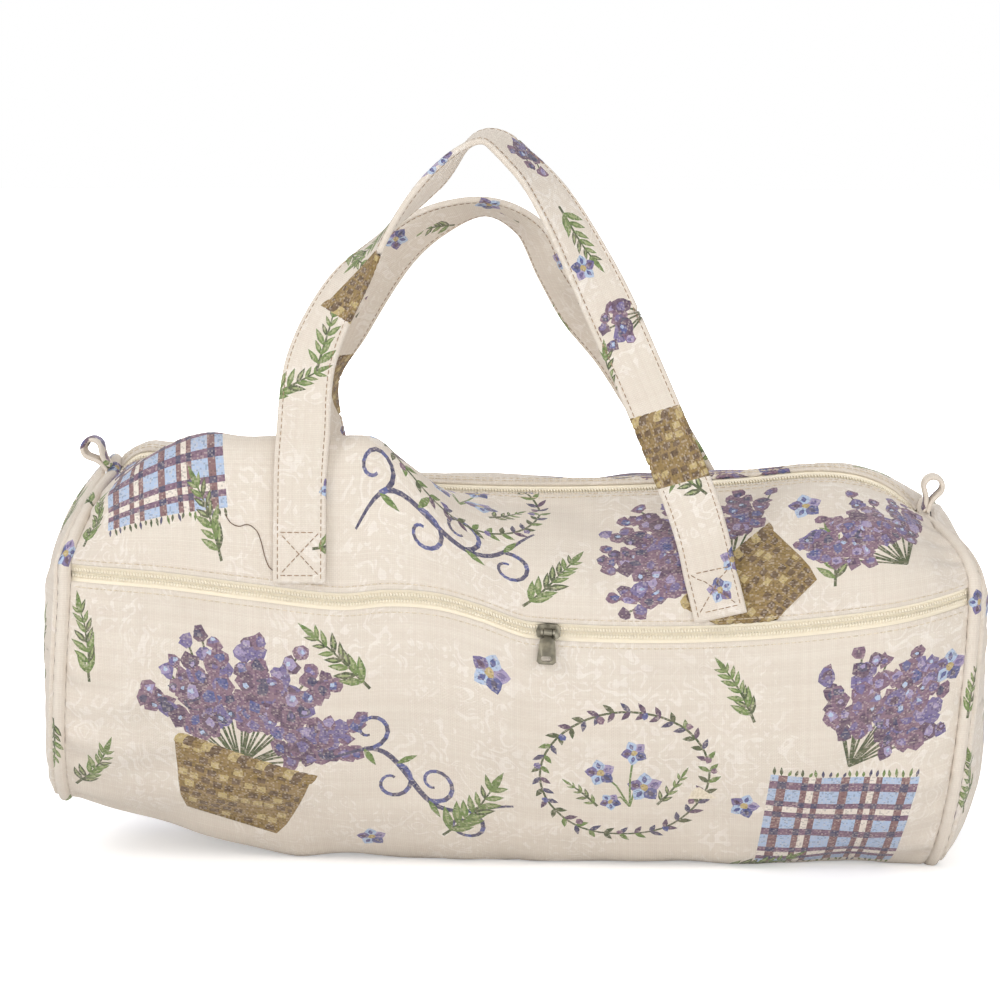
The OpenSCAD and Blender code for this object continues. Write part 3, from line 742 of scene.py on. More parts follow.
def net(u_lines, v_lines):
    return np.stack(np.meshgrid(u_lines, v_lines, indexing="ij"), axis=-1).reshape(-1, 2)


print("a line cut to a box:", cut_to(np.array([-2.0, 0.5]), np.array([2.0, 0.5]), np.zeros(2), np.ones(2)))

# %% Triangles and their yarn
def triangles(start, motifs, seams):
    """Flat places and triangles, with an edge along every outline and seam."""
    low, high = start.min(axis=0), start.max(axis=0)
    spots, lines = [tuple(p) for p in start], []
    for seam in seams:
        lines += [(len(spots) + k, len(spots) + (k + 1) % len(seam)) for k in range(len(seam))]
        spots += [tuple(p) for p in seam]
    for motif in motifs:
        for outline, _ in motif:
            for a, b in zip(outline, np.roll(outline, -1, axis=0)):
                kept = cut_to(a, b, low, high)
                if kept:
                    lines.append((len(spots), len(spots) + 1))
                    spots += [tuple(kept[0]), tuple(kept[1])]
    made = delaunay_2d_cdt([Vector(p) for p in spots], lines, [], 0, 0.01, False)
    return np.array([(p[0], p[1]) for p in made[0]]), np.array(made[2])


def top_yarn(middle, motifs):
    """The colour of the topmost outline at each place; the last number is 0 on the bare ground."""
    colour = np.tile(np.append(yarn["ground"], 0.0), (len(middle), 1))
    for motif in motifs:
        corners = np.concatenate([outline for outline, _ in motif])
        box = np.all((middle > corners.min(axis=0)) & (middle < corners.max(axis=0)), axis=1)
        near = np.nonzero(box)[0]
        for outline, name_of_yarn in motif:
            hit = near[inside(outline, middle[near])]
            colour[hit] = np.append(yarn[name_of_yarn], 1.0)
    return colour


print("bare ground is", top_yarn(np.zeros((1, 2)), []).round(2))

# %% Cloth in space
def dressed(name, mesh, shade):
    """The object of a finished mesh that belongs to the bag's own body."""
    mesh.materials.append(shade)
    piece = add_object(name, mesh)
    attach(piece, "bag")
    return piece


def woven(name, where, start, motifs, shade, keep=None, flip=False, seams=()):
    """A mesh of cloth: where gives place and facing, start is its net, motifs are lists of outlines."""
    flat, faces = triangles(start, motifs, seams)
    if keep is not None:
        faces = faces[keep(flat[faces].mean(axis=1))]
        used, faces = np.unique(faces, return_inverse=True)
        flat, faces = flat[used], faces.reshape(-1, 3)
    colour = top_yarn(flat[faces].mean(axis=1), motifs)
    place, facing = where(flat)
    if flip:
        faces = faces[:, ::-1]
    mesh = bpy.data.meshes.new(name)
    mesh.from_pydata(place * MM, [], faces)
    mesh.attributes.new("thread_colour", "FLOAT_COLOR", "CORNER").data.foreach_set(
        "color", np.repeat(colour, 3, axis=0).ravel()
    )
    mesh.uv_layers.new(name="cloth").data.foreach_set("uv", (flat[faces] * MM).ravel())
    mesh.shade_smooth()
    mesh.normals_split_custom_set_from_vertices(facing)
    print(f"{name}: {len(faces)} triangles, {sum(len(m) for m in motifs)} outlines")
    return dressed(name, mesh, shade)


print("cloth can be woven now")

# %% [markdown]
# ## Finishes written as sums
# A shader is a graph of small nodes. It could be wired by hand in the node editor, but a long graph is hard
# to read there. Wrapping a socket in a class with operators lets the graph be written as a sum: `1 - mask`
# adds a Math node and gives back its output.

# %% A socket that can be added and multiplied
class Wire:
    def __init__(self, tree, socket=None):
        self.tree, self.socket = tree, socket

    def node(self, kind, settings, inputs, output=0):
        """Any node: its settings are set first, then its sockets take values or links."""
        new = self.tree.nodes.new(kind)
        for name, value in settings.items():
            setattr(new, name, value)
        for name, value in inputs.items():
            if isinstance(value, Wire):
                self.tree.links.new(value.socket, new.inputs[name])
            else:
                new.inputs[name].default_value = value
        return Wire(self.tree, new.outputs[output])

    def math(self, operation, *values):
        return self.node("ShaderNodeMath", {"operation": operation}, dict(enumerate(values)))

    def __add__(self, other):
        return self.math("ADD", self, other)

    def __sub__(self, other):
        return self.math("SUBTRACT", self, other)

    def __rsub__(self, other):
        return self.math("SUBTRACT", other, self)

    def __mul__(self, other):
        return self.math("MULTIPLY", self, other)

    __radd__, __rmul__ = __add__, __mul__

    def over(self, edge, soft):
        """0 below the edge and 1 above it, with a soft step."""
        ramp = {"From Min": edge - soft, "From Max": edge + soft, "Value": self}
        return self.node("ShaderNodeMapRange", {"interpolation_type": "SMOOTHSTEP"}, ramp)

    def blend(self, a, b):
        """Colour a where this is 0, and colour b where it is 1."""
        return self.node("ShaderNodeMix", {"data_type": "RGBA"}, {0: self, 6: a, 7: b}, 2)

    def noise(self, scale, detail, kind="3D", **more):
        """Soft noise over this place."""
        inputs = {"Vector": self, "Scale": scale, "Detail": detail, **more}
        return self.node("ShaderNodeTexNoise", {"noise_dimensions": kind}, inputs)

    def bump(self, strength, distance):
        """A normal that makes this height look raised."""
        return self.node("ShaderNodeBump", {}, {"Strength": strength, "Distance": distance, "Height": self})


print("sockets can be added and multiplied")

# %% New finishes
def finish(name, **fixed):
    """A new material: its Principled shader, with the values that are the same all over."""
    material = bpy.data.materials.new(name)
    material.use_nodes = True
    shader = material.node_tree.nodes["Principled BSDF"]
    for socket, value in fixed.items():
        shader.inputs[socket.replace("_", " ")].default_value = value
    return material, shader, Wire(material.node_tree)


def feed(wire, shader, socket):
    wire.tree.links.new(wire.socket, shader.inputs[socket])


def colour4(rgb):
    return (*linear(rgb), 1.0)


print("screen white is", colour4((255, 255, 255)))

# %% [markdown]
# ## The woven cloth
# Warp and weft pass over and under each other, so each crossing is a small bump that is round across its
# own thread. Every thread takes the dye a little differently. The plain ground also carries a pale figure
# in its own colour, which shows only as a softer, lighter weave. Where coloured yarn floats on top, some
# crossings still show the thread below. Threads as meshes would be far too many, so a shader draws them.

# %% Cloth finish
def flat_place(wire, place, axis):
    return wire.node("ShaderNodeSeparateXYZ", {}, {0: place}, axis)


def woven_finish(name, figure=True):
    warp, weft = 0.00082, 0.00064
    material, shader, wire = finish(name, Sheen_Weight=0.12, Sheen_Roughness=0.5, Specular_IOR_Level=0.22)
    place = wire.node("ShaderNodeUVMap", {"uv_map": "cloth"}, {})
    across, along = flat_place(wire, place, 0) * (1 / warp), flat_place(wire, place, 1) * (1 / weft)
    column, row = wire.math("FLOOR", across), wire.math("FLOOR", along)
    on_top = wire.math("MODULO", wire.math("ABSOLUTE", column + row), 2.0)
    warp_round, weft_round = (wire.math("ABSOLUTE", wire.math("SINE", t * math.pi)) for t in (across, along))
    threads = on_top * warp_round + (1 - on_top) * weft_round
    cell = wire.node("ShaderNodeCombineXYZ", {}, {0: column, 1: row})
    chance = wire.node("ShaderNodeTexWhiteNoise", {"noise_dimensions": "2D"}, {"Vector": cell})
    by_row = wire.node("ShaderNodeTexWhiteNoise", {"noise_dimensions": "1D"}, {"W": row})
    by_column = wire.node("ShaderNodeTexWhiteNoise", {"noise_dimensions": "1D"}, {"W": column})
    thread = wire.node("ShaderNodeVertexColor", {"layer_name": "thread_colour"}, {})
    floated = wire.node("ShaderNodeVertexColor", {"layer_name": "thread_colour"}, {}, 1)
    curls = place.noise(130, 1.2, "2D", Distortion=2.4)
    shown = curls.over(0.575, 0.025) * place.noise(26, 2, "2D").over(0.47, 0.09) if figure else curls * 0
    pale = shown * (1 - floated) * 0.62
    shade = pale.blend(thread, colour4((247, 241, 232)))
    uneven_dye = by_row * 0.13 + by_column * 0.08 + chance * 0.07 + place.noise(55, 3, "2D") * 0.12
    shade = uneven_dye.blend(shade, colour4((196, 174, 158)))
    through_float = chance.over(0.84, 0.03) * floated * 0.26
    shade = through_float.blend(shade, colour4((226, 214, 200)))
    dark_float = (1 - chance).over(0.82, 0.03) * floated * 0.3
    shade = dark_float.blend(shade, colour4((46, 40, 52)))
    # Painted shade: the hollows between the threads are darkened in the base colour, where shade would fall.
    shade_between_threads = (1 - threads) * 0.16
    shade = shade_between_threads.blend(shade, colour4((120, 104, 92)))
    feed(shade, shader, "Base Color")
    feed(0.9 - shown * 0.14 - floated * 0.06, shader, "Roughness")
    slubs = place.noise(120, 2, "2D")
    height = threads * 0.55 + chance * 0.3 + floated * 0.5 + shown * 0.35 + slubs * 0.8
    feed(height.bump(0.55, 0.00035), shader, "Normal")
    return material


cloth_finish = woven_finish("woven_cloth")
plain_finish = woven_finish("plain_woven_cloth", figure=False)
print(len(cloth_finish.node_tree.nodes), "nodes weave the cloth")

# %% [markdown]
# ## Where the motifs lie
# The main cloth runs over the back, under the belly and up the lower front, so a motif that stands upright
# in front is upside down behind, as on a real bag cut from one length. Heights are counted up from the
# front zip on the upper cloth, and down from it on the main cloth.

# %% Motifs on the lower front
def on_lower_front(motif, x, down, turn=0, size=1.0):
    return placed(motif, (x, main_girth - down), turn, size)


lower_front = [
    on_lower_front(full_basket(21), -124, 108, -11, 1.22),
    on_lower_front(tendril(22), -78, 66, -17, 1.3),
    on_lower_front(sprig(23, 42), -30, 106, -30),
    on_lower_front(wreath(24, 37), 50, 62, 8),
    on_lower_front(sprig(25, 36), -186, 44, 16),
    on_lower_front(sprig(26, 36), -60, 34, 52),
    on_lower_front(checks(27), 144, 92, -7, 1.18),
    on_lower_front(bunch(28, 17, 50, 84), 148, 60, -32, 1.12),
    on_lower_front(flower(29, 9), -8, 20),
    on_lower_front(sprig(30, 36), 92, 122, -64),
    on_lower_front(sprig(31, 30), 106, 36, 34),
    on_lower_front(flower(32, 7.5), 192, 24),
    on_lower_front(sprig(33, 34), -194, 104, -24),
    on_lower_front(flower(34, 7), 102, 78),
    on_lower_front(flower(35, 7), -62, 112),
]
print(len(lower_front), "motifs on the lower front")

# %% Motifs under the belly and on the back
under_and_back = [
    placed(full_basket(41), (96, 86), 168, 1.2),
    placed(wreath(42, 36), (-20, 76), 0),
    placed(checks(43), (-146, 56), 12, 1.15),
    placed(bunch(44, 17, 50, 90), (-122, 128), 150, 1.15),
    placed(tendril(45), (62, 26), 176, 1.3),
    placed(tendril(46), (-30, 160), 170, 1.3),
    placed(sprig(47, 40), (24, 146), 200),
    placed(sprig(48, 36), (176, 40), 150),
    placed(sprig(49, 36), (-186, 120), 210),
    placed(bunch(50, 17, 50, 80), (150, 196), 20, 1.15),
    placed(wreath(51, 36), (44, 224), 0),
    placed(full_basket(52), (-84, 196), 0, 1.15),
    placed(checks(53), (-164, 250), -8, 1.1),
    placed(sprig(54, 40), (116, 262), 40),
    placed(flower(55, 9), (0, 120), 0),
    placed(flower(56, 8), (172, 130), 0),
    placed(flower(57, 8), (-186, 18), 0),
    placed(sprig(58, 36), (-70, 30), 120),
]
print(len(under_and_back), "motifs under the belly and on the back")

# %% Motifs on the upper front
upper_front = [
    placed(checks(61), (-154, 44), 8, 1.02),
    placed(bunch(62, 15, 44, 90), (-182, 56), 12, 1.0),
    placed(tendril(63), (-66, 20), 15, 1.3),
    placed(sprig(64, 38), (-104, 62), -70),
    placed(wreath(65, 34), (-22, 68), 0),
    placed(full_basket(66), (118, 6), 47, 1.12),
    placed(sprig(67, 36), (6, 6), -34),
    placed(sprig(68, 34), (140, 14), 10),
    placed(bunch(69, 17, 52, 96), (172, 22), 30, 1.1),
    placed(flower(70, 8), (128, 62)),
    placed(sprig(71, 32), (-124, 6), 30),
    placed(sprig(72, 30), (-194, 10), -8),
    placed(flower(73, 7), (-58, 58)),
]
print(len(upper_front), "motifs on the upper front")

# %% [markdown]
# Both cloths are now woven on a net that is finer where the hem is turned under. The flat size of each is
# its length along the bag and its girth with both hems.

# %% Main and upper cloth
under = np.append(roll * np.linspace(0, math.pi, 4)[1:], roll * math.pi + turned_in)
across_lines, both_hems = np.linspace(-half, half, 111), 15


def panel_cloth(name, panel, hemmed, around, step, motifs):
    inner = np.linspace(0, around, int(around / step) + 1)
    girth_lines = np.concatenate([-under[::-1], inner, around + under])
    piece = woven(name, hemmed.at, net(across_lines, girth_lines), motifs, cloth_finish)
    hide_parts(panel)


panel_cloth("main_cloth", "main_panel", main_hemmed, main_girth, 3.6, lower_front + under_and_back)
panel_cloth("upper_cloth", "upper_front_panel", upper_hemmed, upper_girth, 3, upper_front)

# %% [markdown]
# ## Round ends
# Each end is a round of the same cloth, sewn in over a cord. It is flat cloth in the plane across the bag,
# pushed out by the filling and drawn tight along its seam. Near the seam it turns back over the edge. A
# filled mesh with a subdivision surface would be round too, but here each place of the flat round is known,
# so the pattern lies on it undistorted.

# %% The seam round an end
cord_out, end_out = 2.8, 5.6


def end_line(way):
    """The seam round one end, in even steps, and the direction out of the bag at each step."""
    x = np.array([way * half])
    ring = np.concatenate([main_rounds(x)[0], upper_rounds(x)[0]])
    ring = even([np.vstack([ring, ring[:1]])], 361)[0][:-1]
    d = np.roll(ring, -1, axis=0) - np.roll(ring, 1, axis=0)
    return ring, unit(points(0, -d[:, 2], d[:, 1]))


print(f"the seam of the right end is {lengths(end_line(1)[0])[-1]:.0f} mm long")

# %% Ends
def end_cloth(name, way, motifs):
    ring, out = end_line(way)
    rim = ring + np.array([way * end_out, 0, 0]) - 1.2 * out
    x = np.array(way * half)
    middle = np.array([way * (half + end_out), 0, mix(base_z(x), top_zip_z(x), 0.5)])
    turn_of = np.arctan2(rim[:, 2] - middle[2], rim[:, 1])
    reach = np.hypot(rim[:, 1], rim[:, 2] - middle[2])

    def flat_part(flat):
        off = flat - middle[1:]
        a, far = np.arctan2(off[:, 1], off[:, 0]), np.linalg.norm(off, axis=1)
        return a, far, np.interp(a, turn_of, reach, period=2 * math.pi) - 1.0

    def solid(flat):
        a, far, full = flat_part(flat)
        curl = np.clip(far - full, 0, math.pi / 2)
        wall = np.maximum(far - full - math.pi / 2, 0)
        held = np.minimum(far, full)
        k = held / (full + 1.0)
        x = mix(middle[0], np.interp(a, turn_of, rim[:, 0], period=2 * math.pi), k**3)
        swell = 4.5 * (1 - k * k) + 2 - (1 - np.cos(curl)) - wall
        loose = puckers(a * 80, full - held, 91, 19, 15, 0.8)
        loose += ripple(flat[:, 0], flat[:, 1], 92, (90, 64, 47), 0.8)
        swell += loose * clamp((full - held) / 5)
        r = held + np.sin(curl)
        return points(x + way * swell, r * np.cos(a), middle[2] + r * np.sin(a))

    def where(flat):
        step = 0.25 * np.eye(2)
        du, dv = (solid(flat + s) - solid(flat - s) for s in step)
        return solid(flat), way * unit(np.cross(du, dv))

    spokes, step, turned_back = 240, 3.4, 2.8
    a = np.linspace(-math.pi, math.pi, spokes + 1)[:-1]
    edge_at = np.interp(a, turn_of, reach, period=2 * math.pi) - 1.0
    heading = np.stack([np.cos(a), np.sin(a)], axis=1)
    past_edge = (-4, -2, 0, 0.5, 1.05, math.pi / 2, math.pi / 2 + 1.2)
    rings = [middle[1:] + (edge_at + past)[:, None] * heading for past in past_edge]
    low, high = rings[-1].min(axis=0), rings[-1].max(axis=0)
    start = net(np.arange(low[0], high[0], step), np.arange(low[1], high[1], step))
    _, far, full = flat_part(start)
    start = np.concatenate([start[far < full - 5], *rings])

    def keep(spots):
        _, far, full = flat_part(spots)
        return far < full + math.pi / 2 + 1.25

    motifs = [placed(m, middle[1:]) for m in motifs]
    piece = woven(name, where, start, motifs, cloth_finish, keep, way < 0, seams=[rings[-1]])
    node = name.replace("cloth", "panel")
    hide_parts(node)
    wide, tall = (high - low) * MM


left_motifs = [
    placed(full_basket(81), (6, -56), 8, 0.9),
    placed(sprig(82, 36), (-52, -20), 20),
    placed(flower(83, 8), (54, 26)),
    placed(sprig(84, 34), (-36, 46), -50),
    placed(tendril(85), (-14, 66), -8, 0.8),
]
right_motifs = [
    placed(wreath(86, 36), (-8, -4)),
    placed(checks(87), (40, -58), 6),
    placed(sprig(88, 36), (52, 8), -14),
    placed(sprig(89, 32), (-56, -50), 30),
    placed(flower(90, 8), (-54, 44)),
    placed(flower(91, 7), (30, 58)),
]
end_cloth("left_end_cloth", -1, left_motifs)
end_cloth("right_end_cloth", 1, right_motifs)

# %% [markdown]
# ## Piping
# A strip of the cloth wrapped round a cord is sewn into each end seam. It is cut on the slant, so it
# crinkles in short steps, and scraps of the pattern run across it. A curve with a round bevel makes plain
# cord in one step. This mesh starts from flat cloth instead, because the pattern has to go round it.

# %% Scraps of the pattern
def scraps(seed, length, width, count):
    """Cut-off bits of motifs strewn along a strip."""
    draw = np.random.default_rng(seed)
    made = []
    for k in range(count):
        at = (length * (k + draw.uniform(0.1, 0.9)) / count, draw.uniform(0, width))
        kind = draw.integers(0, 4)
        bits = (
            sprig(seed + k, 24, 5),
            flower(seed + k, 6),
            bunch(seed + k, 5, 22, 60),
            sprig(seed + k, 30, 6),
        )
        made.append(placed(bits[kind], at, draw.uniform(0, 360)))
    return made


print("scraps for a short strip:", len(scraps(6, 40, 20, 2)))

# %% Piping
def piping_cloth(name, way, seed):
    ring, out = end_line(way)
    line = ring + np.array([way * cord_out, 0, 0]) - out
    line, out = (np.vstack([g, g[:1]]) for g in (line, out))
    far = lengths(line)
    radius, total = 2.9, far[-1]

    def where(flat):
        s, a = flat[:, 0], flat[:, 1] / radius
        from_cord = np.cos(a)[:, None] * at_length(out, far, s)
        facing = unit(from_cord + np.sin(a)[:, None] * np.array([1.0, 0, 0]))
        fade = clamp(s / 6) * clamp((total - s) / 6)
        crinkle = 0.16 * np.sin(2 * math.pi * s / 6.4 + 1.1 * a + ripple(s, s * 0, seed, (60, 37), 1.6))
        return at_length(line, far, s) + (radius + fade * crinkle)[:, None] * facing, facing

    girth_lines = radius * np.linspace(-math.pi, math.pi, 17)
    start = net(np.linspace(0, total, int(total / 1.6)), girth_lines)
    motifs = [placed(m, (0, -radius * math.pi)) for m in scraps(seed, total, 2 * math.pi * radius, 17)]
    piece = woven(name, where, start, motifs, plain_finish, flip=True)
    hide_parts(name.replace("_cloth", ""))


piping_cloth("left_piping_cloth", -1, 301)
piping_cloth("right_piping_cloth", 1, 401)

# %% [markdown]
# ## Folded straps
# A handle is a long strip, folded so that no raw edge shows and stitched along both sides. It is drawn as
# a flat tube: a line in space, a direction that its face looks in, and a flat round profile. A curve with a
# profile would twist as it likes, and here the twist has to be told. Flat places on it are the length along
# the strap and the way round its profile, so the pattern wraps over the edges.

# %% Smooth lines
def smooth(knots, steps=12):
    """A curve through all knots."""
    p = np.array(knots, float)
    q = np.vstack([p[:1], p, p[-1:]])
    t = np.linspace(0, 1, steps, endpoint=False)[:, None]
    made = []
    for a, b, c, d in zip(q, q[1:], q[2:], q[3:]):
        made.append(
            0.5 * (2 * b + (c - a) * t + (2 * a - 5 * b + 4 * c - d) * t**2 + (3 * b - a - 3 * c + d) * t**3)
        )
    return np.vstack(made + [p[-1:]])


print("two knots give", len(smooth([(0, 0, 0), (1, 0, 0)])), "points")

# %% Bands
class Band:
    """Folded cloth along a line; groove is pressed by its seams, loose is how far it ripples."""

    def __init__(self, line, facing, width, thick, groove, loose, seed):
        self.line, self.width, self.thick = line, width, thick
        self.groove, self.loose, self.seed = groove, loose, seed
        self.far = lengths(line)
        self.length = self.far[-1]
        along = unit(np.gradient(line, axis=0))
        self.out = unit(facing - np.sum(facing * along, axis=1, keepdims=True) * along)
        self.side = np.cross(along, self.out)
        r, f = thick / 2, (width - thick) / 2
        bow = np.linspace(-math.pi / 2, math.pi / 2, 13)
        a = np.concatenate([[0], f + r * np.cos(bow), -f - r * np.cos(bow), [0]])
        b = np.concatenate([[-r], r * np.sin(bow), -r * np.sin(bow), [-r]])
        self.round = np.concatenate([[0], np.cumsum(np.hypot(np.diff(a), np.diff(b)))])
        self.profile = np.stack([a, b])
        self.girth = self.round[-1]

    def front(self, across):
        """The way round the profile to a place on the face."""
        return self.girth / 2 - across

    def solid(self, flat):
        s, w = flat[:, 0], np.mod(flat[:, 1], self.girth)
        a, b = (np.interp(w, self.round, p) for p in self.profile)
        r, f = self.thick / 2, self.width / 2
        from_end = np.minimum(s, self.length - s)
        b = b * np.sqrt(clamp(1 - (1 - clamp(from_end / r)) ** 2))
        b += np.sign(b) * clamp(np.abs(b) / r) * (0.3 * (1 - (a / f) ** 2))
        pressed = self.groove * np.exp(-(((np.abs(a) - f + 2.2) / 0.8) ** 2))
        b -= np.sign(b) * clamp(np.abs(b) / r) * pressed
        settle = clamp((from_end - 26) / 20)
        b += settle * ripple(s, a, self.seed, (64, 43, 29), self.loose)
        a = a * (1 + settle * ripple(s, s * 0, self.seed + 1, (52, 33), 0.012))
        place, side, out = (at_length(g, self.far, s) for g in (self.line, self.side, self.out))
        return place + a[:, None] * side + b[:, None] * out

    def at(self, flat):
        step = 0.12 * np.eye(2)
        inner = np.stack([np.clip(flat[:, 0], 0.25, self.length - 0.25), flat[:, 1]], axis=1)
        du, dv = (self.solid(inner + s) - self.solid(inner - s) for s in step)
        return self.solid(flat), unit(np.cross(du, dv))

    def cloth(self, name, motifs, shade, step):
        ends = np.array([0, 0.1, 0.25, 0.6, 1.0]) * self.thick / 2
        inner = np.linspace(self.thick, self.length - self.thick, int(self.length / step))
        rows = np.concatenate([ends, inner, self.length - ends[::-1]])
        lines = np.unique(np.concatenate([self.round, np.linspace(0, self.girth, int(self.girth / 1.3))]))
        return woven(name, self.at, net(rows, lines), motifs, shade)


print("a band is a line, a facing and a flat round profile")

# %% [markdown]
# The front handle is sewn to the upper front with its feet at the pocket zip and stands up as a peak. The
# back handle is sewn lower on the back and flops over to one side. Each route has its feet on the cloth and
# a free run between them, and a list of directions tells how its face turns.

# %% Front handle
strap_width, strap_thick, strap_groove, strap_loose = 23, 3, 0.4, 0.22
foot_length, foot_in, foot_lift = 22, 3, 2.25


def on_cloth(rounds, x, far, lift):
    """A place over the cloth, some girth along one of its rounds."""
    row = rounds(np.array([x]))[0]
    p, q = at_length(row, lengths(row), [far, far + 1])
    d = q - p
    return p + lift * unit(np.array([0, -d[2], d[1]]))


def on_front(x, far):
    return on_cloth(upper_rounds, x, far, foot_lift)


def free_run(shares, side, top):
    base = 0.906 * top_low
    return [(x * foot_x, y * side, base + (top - base) * z) for x, y, z in shares]


left_foot = [on_front(-foot_x, max(foot_in, f * foot_length)) for f in (0, 0.6, 1.1, 1.7, 2.25)]
right_shares = (1, 0.75, 0.5, 0.25, foot_in / foot_length)
right_foot = [on_front((1.02 - 0.06 * f) * foot_x, f * foot_length) for f in right_shares]
peak = [(-0.99, 0.878, 0.26), (-0.96, 0.756, 0.44), (-0.81, 0.671, 0.615), (-0.61, 0.598, 0.755)]
peak += [(-0.375, 0.537, 0.895), (-0.145, 0.5, 1), (0.06, 0.524, 0.93), (0.23, 0.573, 0.815)]
peak += [(0.385, 0.634, 0.665), (0.545, 0.707, 0.49), (0.715, 0.805, 0.29)]
peak += [(0.85, 0.866, 0.12), (0.92, 0.902, 0.01)]
looks = [(0, -1, 0.05), (0, -1, 0.1), (0, -1, 0.15), (0.01, -1, 0.25), (0.01, -1, 0.4)]
looks += [(-0.03, -1, 0.2), (-0.25, -0.95, 0.1), (-0.5, -0.7, 0.3), (-0.7, -0.1, 0.5), (-0.6, 0.35, 0.75)]
looks += [(-0.1, -0.15, 1), (0.6, -0.45, 0.7), (0.6, -0.75, 0.4), (0.4, -0.9, 0.2), (0.2, -1, 0.1)]
looks += [(0.1, -1, 0.1), (0.05, -1, 0.1), (-0.03, -1, 0.3), (-0.03, -1, 0.6), (-0.03, -1, 0.5)]
looks += [(-0.03, -1, 0.4), (-0.02, -1, 0.3), (0, -1, 0.2)]
front_top = 321
strap_sizes = (strap_width, strap_thick, strap_groove, strap_loose)
route = left_foot + free_run(peak, front_y, front_top) + right_foot
front_band = Band(smooth(route), smooth(looks), *strap_sizes, 501)
print(f"front strap {front_band.length:.0f} mm")

# %% Back handle
back_foot_girth, back_top = 124, 285
peel = [(0, 0), (0.35, 0.1), (0.7, 0.4), (1, 1.8)]


def back_foot(x):
    return [on_cloth(main_rounds, x, back_foot_girth - f * foot_length, foot_lift + up) for f, up in peel]


flop = [(0.88, 0.878, 0.05), (0.68, 0.878, 0.28), (0.47, 0.854, 0.49), (0.29, 0.805, 0.63)]
flop += [(0.155, 0.732, 0.77), (0.04, 0.683, 0.925), (-0.19, 0.659, 1), (-0.46, 0.671, 0.945)]
flop += [(-0.68, 0.707, 0.82), (-0.89, 0.78, 0.59), (-1.02, 0.841, 0.37), (-1, 0.878, 0.12)]
foot_looks = [(0, 1, 0.2), (0, 1, 0.3), (0, 1, 0.35), (0, 1, 0.35)]
looks = [(0.1, 1, 0.3), (0.3, 1, 0.2), (0.5, 0.9, 0.2), (0.6, 0.75, 0.2), (0.7, 0.6, 0.3)]
looks += [(0.45, 0.55, 0.75), (0, 0.4, 1), (-0.3, 0.7, 0.7), (-0.4, 0.9, 0.4), (-0.6, 0.8, 0.2)]
looks += [(-0.9, 0.35, 0.1), (-0.8, 0.6, 0.1)]
route = back_foot(foot_x) + free_run(flop, back_y, back_top) + back_foot(-foot_x)[::-1]
back_band = Band(smooth(route), smooth(foot_looks + looks + foot_looks[::-1]), *strap_sizes, 511)
print(f"back strap {back_band.length:.0f} mm")

# %% Strap cloth
def strap_cloth(name, band, seed, patches, node):
    """A strap with patches of basket weave and scraps of sprigs and blossom."""
    motifs = scraps(seed + 20, band.length, band.girth, 21)
    for k, (s, w, turn) in enumerate(patches):
        motifs.append(placed(basket(seed + k, 50, 30), (s, w), turn))
    piece = band.cloth(name, motifs, cloth_finish, 2.4)
    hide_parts(node)


front_patches = [(150, 0, 84), (398, front_band.front(0), 84)]
back_patches = [(60, 4, 80), (350, 24, 96)]
strap_cloth("front_strap", front_band, 521, front_patches, "front_handle")
strap_cloth("back_strap", back_band, 541, back_patches, "back_handle")

# %% [markdown]
# ## Loops at the ends of the top zip
# A narrow folded strip is caught in each end seam. It stands up as a small eye, with its two legs pressed
# together at the seam. It is a band like the handles, along a line that is bent to a keyhole.

# %% Loops
eye_at, eye_radius, loop_width, loop_thick = 14.05, 4.1, 12, 1.8
eye_turns = np.radians(np.linspace(-125, 125, 15))
eye = [(eye_at + eye_radius * math.cos(t), eye_radius * math.sin(t)) for t in eye_turns]
legs = [(2.4, 0.88), (5.4, 0.92), (7.4, 1.22), (9.2, 1.9)]
keyhole = [*((p, -q) for p, q in legs), *eye, *reversed(legs)]


def end_loop(name, way, slope, seed):
    seam = top_rail(np.array(way * half)) + np.array([way * cord_out, 0, -1.0])
    leaning = math.radians(slope)
    up = np.array([way * math.cos(leaning), 0, math.sin(leaning)])
    wide = np.array([-way * math.sin(leaning), 0, math.cos(leaning)])
    line = smooth([seam + p * up + q * wide for p, q in keyhole], 5)
    facing = np.cross(np.array([0, 1.0, 0]), unit(np.gradient(line, axis=0)))
    if np.dot(facing[len(facing) // 2], up) < 0:
        facing = -facing
    band = Band(line, facing, loop_width, loop_thick, 0.2, 0.0, seed)
    piece = band.cloth(name, scraps(seed, band.length, band.girth, 2), plain_finish, 0.9)
    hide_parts(name.replace("eye", "loop"))


end_loop("left_eye", -1, 50, 561)
end_loop("right_eye", 1, 74, 571)

# %% [markdown]
# ## Zips
# Both zips are nylon coil zips. A woven tape lies under each cloth edge, and a coil is sewn along its
# inner border. Only a strip of tape shows between the two folded cloth edges, with the coils in the middle.
# Coils, stitches and loose thread are all thin tubes. Curves with a bevel would do, but hundreds of short
# ones are quicker as one mesh.

